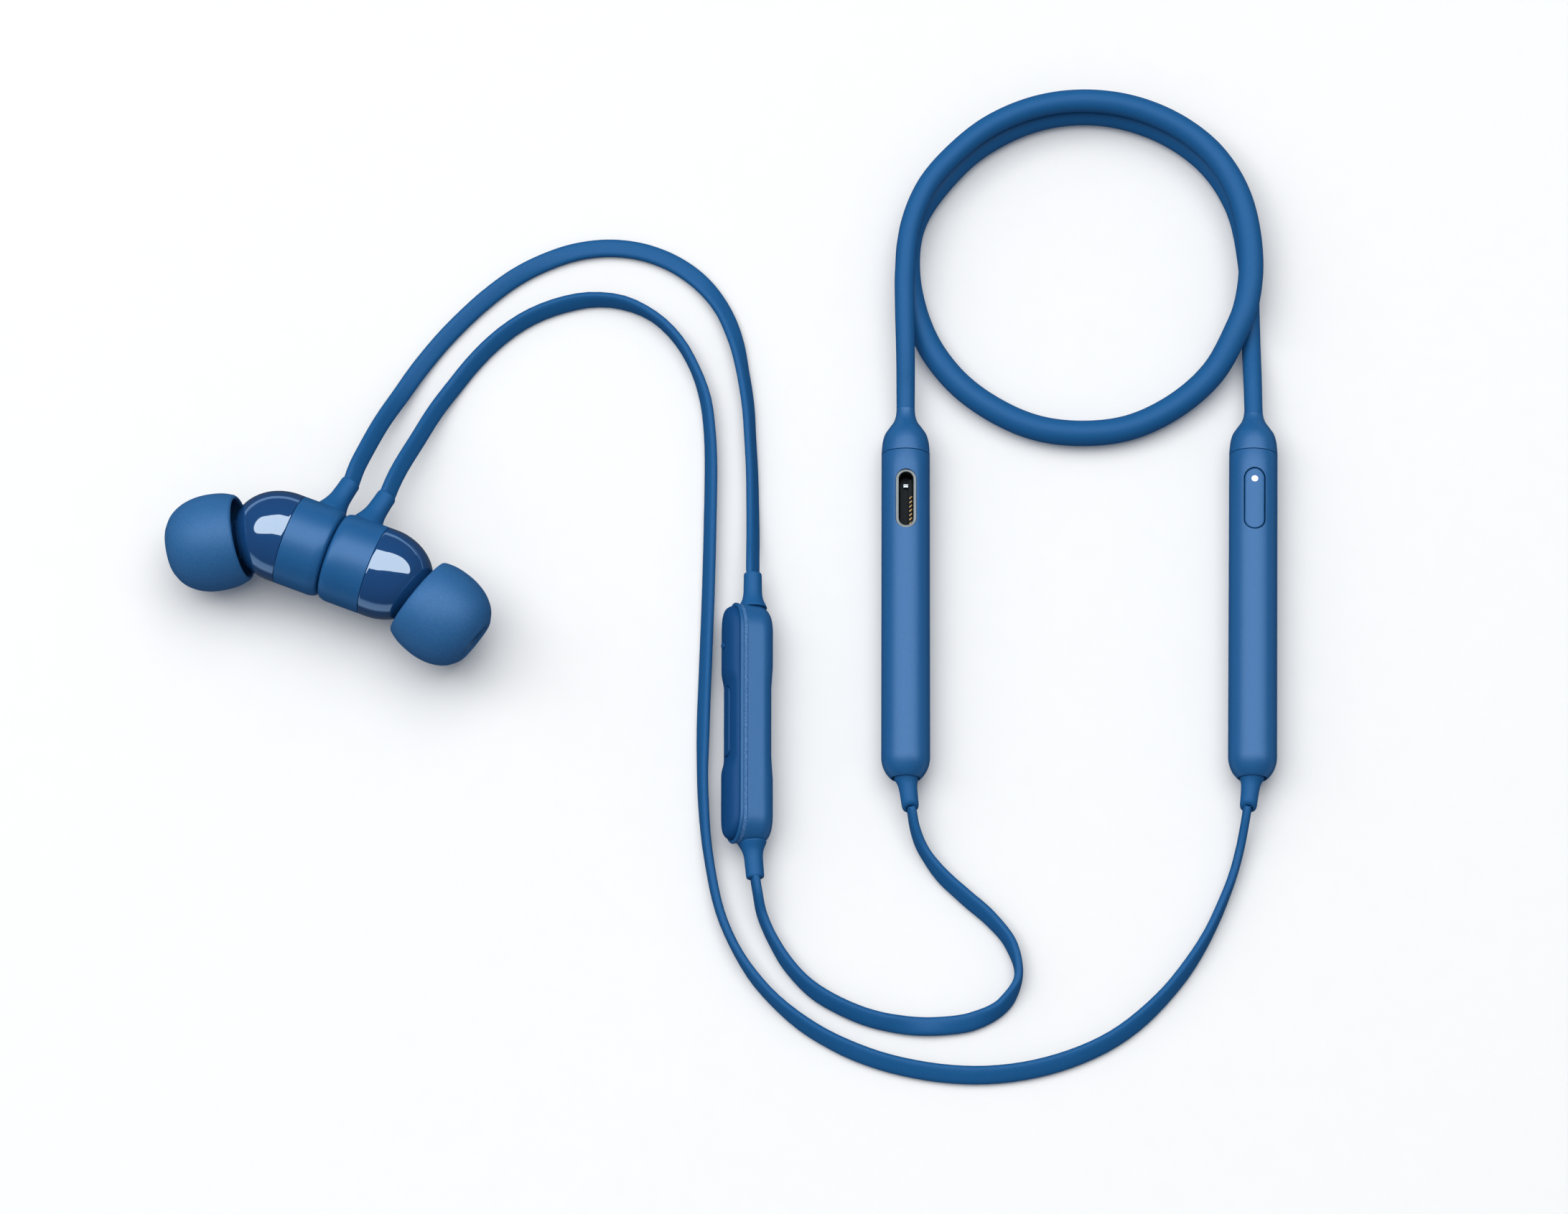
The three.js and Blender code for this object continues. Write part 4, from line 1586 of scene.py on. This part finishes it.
    def build(self) -> None:
        """Builds the remote."""
        self.back_shell()
        low, high = self.bezel_back + 0.02, self.split - 0.02
        gasket = self._band("remote_gasket_strip", GASKET, 0.1, low, high, 0.05)
        settle(gasket, Body.ROOT, "keypad", "remote_gasket")
        low, high = self.bezel_front, self.bezel_back
        bezel = self._band("remote_bezel_ring", SOFT_TOUCH, 0.0, low, high, 0.09)
        settle(bezel, Body.ROOT, "soft_touch", "remote_bezel")
        self.pad()
        self.centre()
        self.boot("remote_boot_upper", 1, 0.0, "remote_upper_boot")
        self.boot("remote_boot_lower", -1, 5.0, "remote_lower_boot")


# ---------------------------------------------------------------- earbuds


@dataclass
class Bud:
    """One earbud, from the junction outward along its own Y."""

    side: Side
    radius: float = 6.1
    seam: float = 6.03
    nozzle_root: float = 9.0
    nozzle_length: float = 11.0
    tip_start: float = 3.8

    @property
    def body(self) -> Body:
        """The body that the bud rides on."""
        return Body.ROOT if self.side is Side.LEFT else Body.RIGHT_BUD

    @property
    def tip_body(self) -> Body:
        """The body that the ear tip rides on."""
        return Body.LEFT_TIP if self.side is Side.LEFT else Body.RIGHT_TIP

    def place(self) -> Matrix:
        """The bud's frame, from the two magnets.

        Returns:
            The frame, with its origin at the junction.
        """
        left, right = middle_of("left_bud_magnet"), middle_of("right_bud_magnet")
        along = left - right if self.side is Side.LEFT else right - left
        return axis_frame((left + right) / 2, along)

    def nozzle(self) -> Matrix:
        """The nozzle's frame, along the joint that its tip slides on."""
        root = self.place() @ Vector((0, self.nozzle_root, 0))
        return axis_frame(root, joint_axis(f"{self.side.word}_tip_pull"))

    def cup(self) -> None:
        """Builds the matte cup with the magnet behind its back."""
        profile = filleted(
            [
                (0.0, 0.04, 0), (5.25, 0.04, 0.3), (5.85, 0.3, 0.5),
                (self.radius, 1.1, 0.8),
                (self.radius, self.seam - 0.02, 0.1),
                (5.5, self.seam - 0.02, 0),
                (5.5, 1.2, 0.2), (0.0, 1.2, 0),
            ],
            8,
        )
        cup = Mesher(self.place()).turned(profile, 128).piece(f"{self.side.word}_cup", SOFT_TOUCH)
        settle(cup, self.body, "soft_touch", f"{self.side.word}_bud_cup")

    def dome(self) -> None:
        """Builds the gloss dome and its nozzle."""
        curve = [
            (6.1, 6.12), (6.1, 7.0), (6.04, 8.0), (5.82, 9.1), (5.4, 10.3), (4.75, 11.45),
            (3.85, 12.5), (2.7, 13.35), (1.4, 13.85), (0.0, 14.0),
        ]
        swept = [(max(0.0, r), y) for r, y in smoothed(curve, 64)]
        profile = [(5.4, self.seam + 0.03), (6.04, self.seam + 0.03), *swept[:-1], (0.0, 14.0)]
        maker = Mesher(self.place()).turned(profile, 128)
        dome = maker.piece(f"{self.side.word}_dome", GLOSS, 50)
        settle(dome, self.body, "gloss", f"{self.side.word}_bud_dome")
        stem = filleted(
            [
                (2.45, 2.0, 0), (2.3, 9.4, 0), (2.55, 9.6, 0.15),
                (2.5, self.nozzle_length, 0.2),
                (2.1, self.nozzle_length, 0.1),
                (2.1, self.nozzle_length - 0.5, 0),
                (0.0, self.nozzle_length - 0.5, 0),
            ]
        )
        tube = Mesher(self.nozzle()).turned(stem, 72).piece(f"{self.side.word}_nozzle", GLOSS, 40)
        settle(tube, self.body, "gloss")
        sunk = ((0.0, 0.3), (1.2, 0.34), (2.05, 0.42), (2.05, 0.52), (0.0, 0.52))
        grille = filleted([(r, self.nozzle_length - below, 0) for r, below in sunk])
        mesh = Mesher(self.nozzle()).turned(grille, 48).piece(f"{self.side.word}_grille", STEEL)
        settle(mesh, self.body, "steel", f"{self.side.word}_nozzle_mesh")

    def boot(self) -> None:
        """Builds the boot where the lead leaves the cup."""
        sign = self.side.value
        lean = Vector((1, -0.16, -0.12)) if sign < 0 else Vector((-1, 0.16, -0.12))
        place = self.place()
        start = place @ Vector((0, 2.6 - sign * 0.9, 0))
        frame_here = axis_frame(start, place.to_3x3() @ lean)
        profile = filleted(
            [
                (0.0, 4.6, 0), (2.3, 4.6, 0), (2.2, 5.9, 0.6), (1.75, 6.9, 0.7), (1.45, 8.0, 0.7),
                (1.36, 9.6, 0.5), (1.34, 10.9, 0.35), (1.0, 11.15, 0.15), (0.0, 11.15, 0),
            ]
        )
        maker = Mesher(frame_here).turned(profile, 64)
        boot = maker.piece(f"{self.side.word}_bud_relief", SILICONE, 40)
        settle(boot, self.body, "silicone", f"{self.side.word}_bud_boot")

    def tip(self) -> None:
        """Builds the ear tip: a sleeve turned back over itself as a hollow skirt."""
        curve = [
            (2.36, 7.7), (2.4, 8.6), (2.5, 9.3), (2.75, 9.75), (3.1, 9.88), (3.3, 9.84),
            (3.7, 9.62), (4.6, 9.0), (5.3, 8.2), (5.9, 7.1), (6.3, 5.8), (6.48, 4.4), (6.46, 3.0),
            (6.3, 1.7), (6.0, 0.7), (5.75, 0.15), (5.5, 0.0), (5.28, 0.08), (5.25, 0.3),
            (5.6, 1.2), (5.92, 2.4), (5.92, 3.8), (5.6, 5.6), (4.8, 7.1), (4.15, 7.5), (3.6, 7.0),
            (3.42, 6.2), (3.4, 2.3), (3.2, 2.05), (2.95, 2.1), (2.86, 2.4), (2.86, 7.3),
        ]
        place = self.nozzle() @ Matrix.Translation((0, self.tip_start, 0))
        skirt = Mesher(place).turned(smoothed(curve, 130), 112, True)
        tip = skirt.piece(f"{self.side.word}_tip", TIP_SILICONE, 60)
        settle(tip, self.tip_body, "tip_silicone", f"{self.side.word}_ear_tip")

    def build(self) -> None:
        """Builds the bud."""
        self.cup()
        self.dome()
        self.boot()
        self.tip()


# ---------------------------------------------------------------- inner parts


@dataclass
class InnerParts:
    """The parts inside the housings, which keep the frame's own shapes."""

    finishes: dict[str, Any] = field(
        default_factory=lambda: {
            "memory_wire": STEEL,
            "left_wire_crimp": STEEL,
            "right_wire_crimp": STEEL,
            "charger_board": BOARD,
            "battery_cell": BATTERY_WRAP,
            "main_board": BOARD,
            "power_switch": STEEL,
            "shield_can": STEEL,
            "remote_board": BOARD,
            "volume_up_dome": STEEL,
            "centre_dome": STEEL,
            "volume_down_dome": STEEL,
            "microphone": STEEL,
            "left_bud_magnet": STEEL,
            "right_bud_magnet": STEEL,
            "left_bud_driver": STEEL,
            "right_bud_driver": STEEL,
        }
    )

    def dress(self) -> None:
        """Gives each inner part its finish."""
        for node, finish in self.finishes.items():
            data = frame["nodes"][node].data
            data.materials.clear()
            data.materials.append(PALETTE[finish])
            LOG.info("inner part %s gets %s", node, finish.name)


# ---------------------------------------------------------------- routes
#
# A route is a cable's centreline in millimetres. A twist gives a lead's turn in degrees at
# shares of its length.

NECK_ROUTE = [
    (24.49, 9.75, 3.24), (24.5, 12.5, 3.45), (24.5, 16, 4.2), (24.45, 20, 4.75), (24.4, 24, 4.85),
    (24.45, 29, 4.85), (25.3, 35.9, 4.85), (27.6, 41.6, 4.8), (31.3, 46.2, 4.75),
    (36.2, 50.3, 4.75), (42.4, 53.1, 4.75), (48.9, 54.05, 4.75), (55.6, 53.2, 4.7),
    (61.9, 50.4, 4.65), (66.9, 46, 4.6), (70.2, 39.8, 4.6), (71.5, 31, 4.6), (70.7, 24.3, 4.5),
    (69.3, 20.7, 4.0), (66.3, 15.4, 2.8), (61.5, 11, 2.1), (55, 7.7, 1.8), (48.4, 6.8, 1.75),
    (42, 7.65, 1.75), (36, 10.5, 1.75), (31, 14.7, 1.72), (27, 21, 1.7), (24.95, 30, 1.7),
    (26, 37.6, 1.68), (31.7, 45.7, 1.64), (36.5, 49.6, 1.6), (42.5, 52.4, 1.57),
    (48.9, 53.4, 1.55), (55.4, 52.5, 1.53), (61.6, 49.7, 1.5), (66.5, 45.4, 1.46),
    (69.9, 39.2, 1.43), (71.3, 31, 1.42), (71.42, 24, 1.45), (71.45, 19, 1.75), (71.46, 14, 2.75),
    (71.44, 9.75, 3.24),
]
UPPER_ROUTE = [
    (-49.85, -1.9, 6.9), (-49.2, 0.3, 6.5), (-48.2, 2.9, 5.6), (-46.2, 7.7, 3.6),
    (-43.8, 12.2, 1.9), (-41.3, 16.4, 1.05), (-38.5, 20.2, 0.75), (-35.4, 23.7, 0.65),
    (-32.1, 26.9, 0.65), (-28.4, 29.8, 0.65), (-24.4, 32, 0.65), (-20.1, 33.5, 0.65),
    (-15.6, 34, 0.65), (-11.1, 33.4, 0.65), (-6.8, 31.6, 0.7), (-3.1, 28.7, 0.8),
    (-0.3, 24.9, 0.95), (1.5, 20.4, 1.1), (2.5, 15.7, 1.1), (3.2, 10.9, 1.1), (3.5, 6.2, 1.1),
    (3.75, 1.4, 1.1), (3.85, -3.4, 1.25), (3.9, -8.3, 1.9), (3.88, -11.4, 2.8),
    (3.88, -13.35, 3.05),
]
RIGHT_ROUTE = [
    (-45, -3.75, 6.9), (-44.3, -1.7, 6.5), (-43.4, 0.6, 5.7), (-41.3, 5.2, 3.7), (-39.1, 9.8, 2),
    (-36.5, 13.9, 1.1), (-33.7, 17.6, 0.8), (-30.5, 20.9, 0.7), (-26.8, 23.6, 0.7),
    (-22.7, 25.4, 0.7), (-18.3, 26.3, 0.7), (-13.9, 25.9, 0.8), (-9.7, 23.9, 1),
    (-6.4, 20.6, 1.15), (-4.1, 16.5, 1.2), (-2.6, 12, 1.2), (-2, 7.4, 1.15), (-1.8, 2.7, 1.1),
    (-1.9, -6.7, 1.05), (-2.1, -16, 1.05), (-2.4, -25.2, 1.05), (-2.7, -34.4, 1.05),
    (-2.7, -43.6, 1.1), (-1.9, -52.6, 1.2), (0.1, -61.4, 1.2), (4.3, -69.1, 1.1),
    (10.6, -75.2, 0.9), (18.3, -79.3, 0.75), (26.6, -81.5, 0.7), (35.2, -82, 0.7),
    (43.7, -80.5, 0.7), (51.6, -77, 0.75), (58.2, -71.3, 0.95), (63.4, -64.1, 1.1),
    (67.1, -55.9, 1.25), (68.3, -51.9, 1.5), (68.85, -49.4, 2.2), (69.33, -46.7, 3.2),
]
LOWER_ROUTE = [
    (4.29, -56.15, 3.05), (4.55, -57.7, 2.9), (5.1, -60.3, 1.7), (6.5, -63.6, 1.15),
    (8.8, -67.4, 1.05), (11.9, -70.6, 0.95), (15.7, -72.9, 0.9), (19.8, -74.5, 0.75),
    (24.1, -75.3, 0.7), (28.5, -75.4, 0.7), (32.8, -74.8, 0.75), (36.7, -72.8, 1),
    (38.9, -68.9, 1.2), (38, -64.5, 1.15), (35.3, -60.9, 1), (32, -57.9, 0.95), (28.8, -54.8, 1.1),
    (26.4, -51.4, 1.5), (25.4, -48.9, 2.4), (24.98, -46.75, 3.2),
]

UPPER_TWIST = [
    (0, -42), (0.1, -40), (0.2, -25), (0.35, -20), (0.46, 0), (0.58, 6), (0.66, 34), (0.74, 58),
    (0.82, 65), (1, 58),
]
RIGHT_TWIST = [
    (0, -45), (0.1, -46), (0.17, -52), (0.2, -68), (0.225, -85), (0.26, -83), (0.29, -68),
    (0.33, -61), (0.475, -60), (0.51, -72), (0.56, -84), (0.6, -90), (0.635, -74), (0.67, -54),
    (0.7, -38), (0.75, -28), (0.8, -33), (0.85, -46), (0.89, -62), (0.93, -80), (0.96, -90),
    (1, -90),
]
LOWER_TWIST = [
    (0, -80), (0.1, -78), (0.18, -66), (0.26, -50), (0.36, -38), (0.44, -8), (0.5, -25),
    (0.58, -58), (0.64, -90), (0.7, -112), (0.79, -126), (0.85, -122), (0.92, -104), (1, -97),
]


def main() -> None:
    """Builds the scene: camera and cables first, then each sub-assembly in order."""
    logging.basicConfig(level=logging.INFO)
    Studio().build()
    Cabling().build()
    left = Capsule(Side.LEFT, "battery_cell", 7.0).build((2.8, 8.34))
    ChargePort(left).build()
    right = Capsule(Side.RIGHT, "main_board", -6.0).build((2.92, 8.76))
    PowerButton(right).build()
    Remote().build()
    for side in Side:
        Bud(side).build()
    InnerParts().dress()


if __name__ == "__main__":
    main()
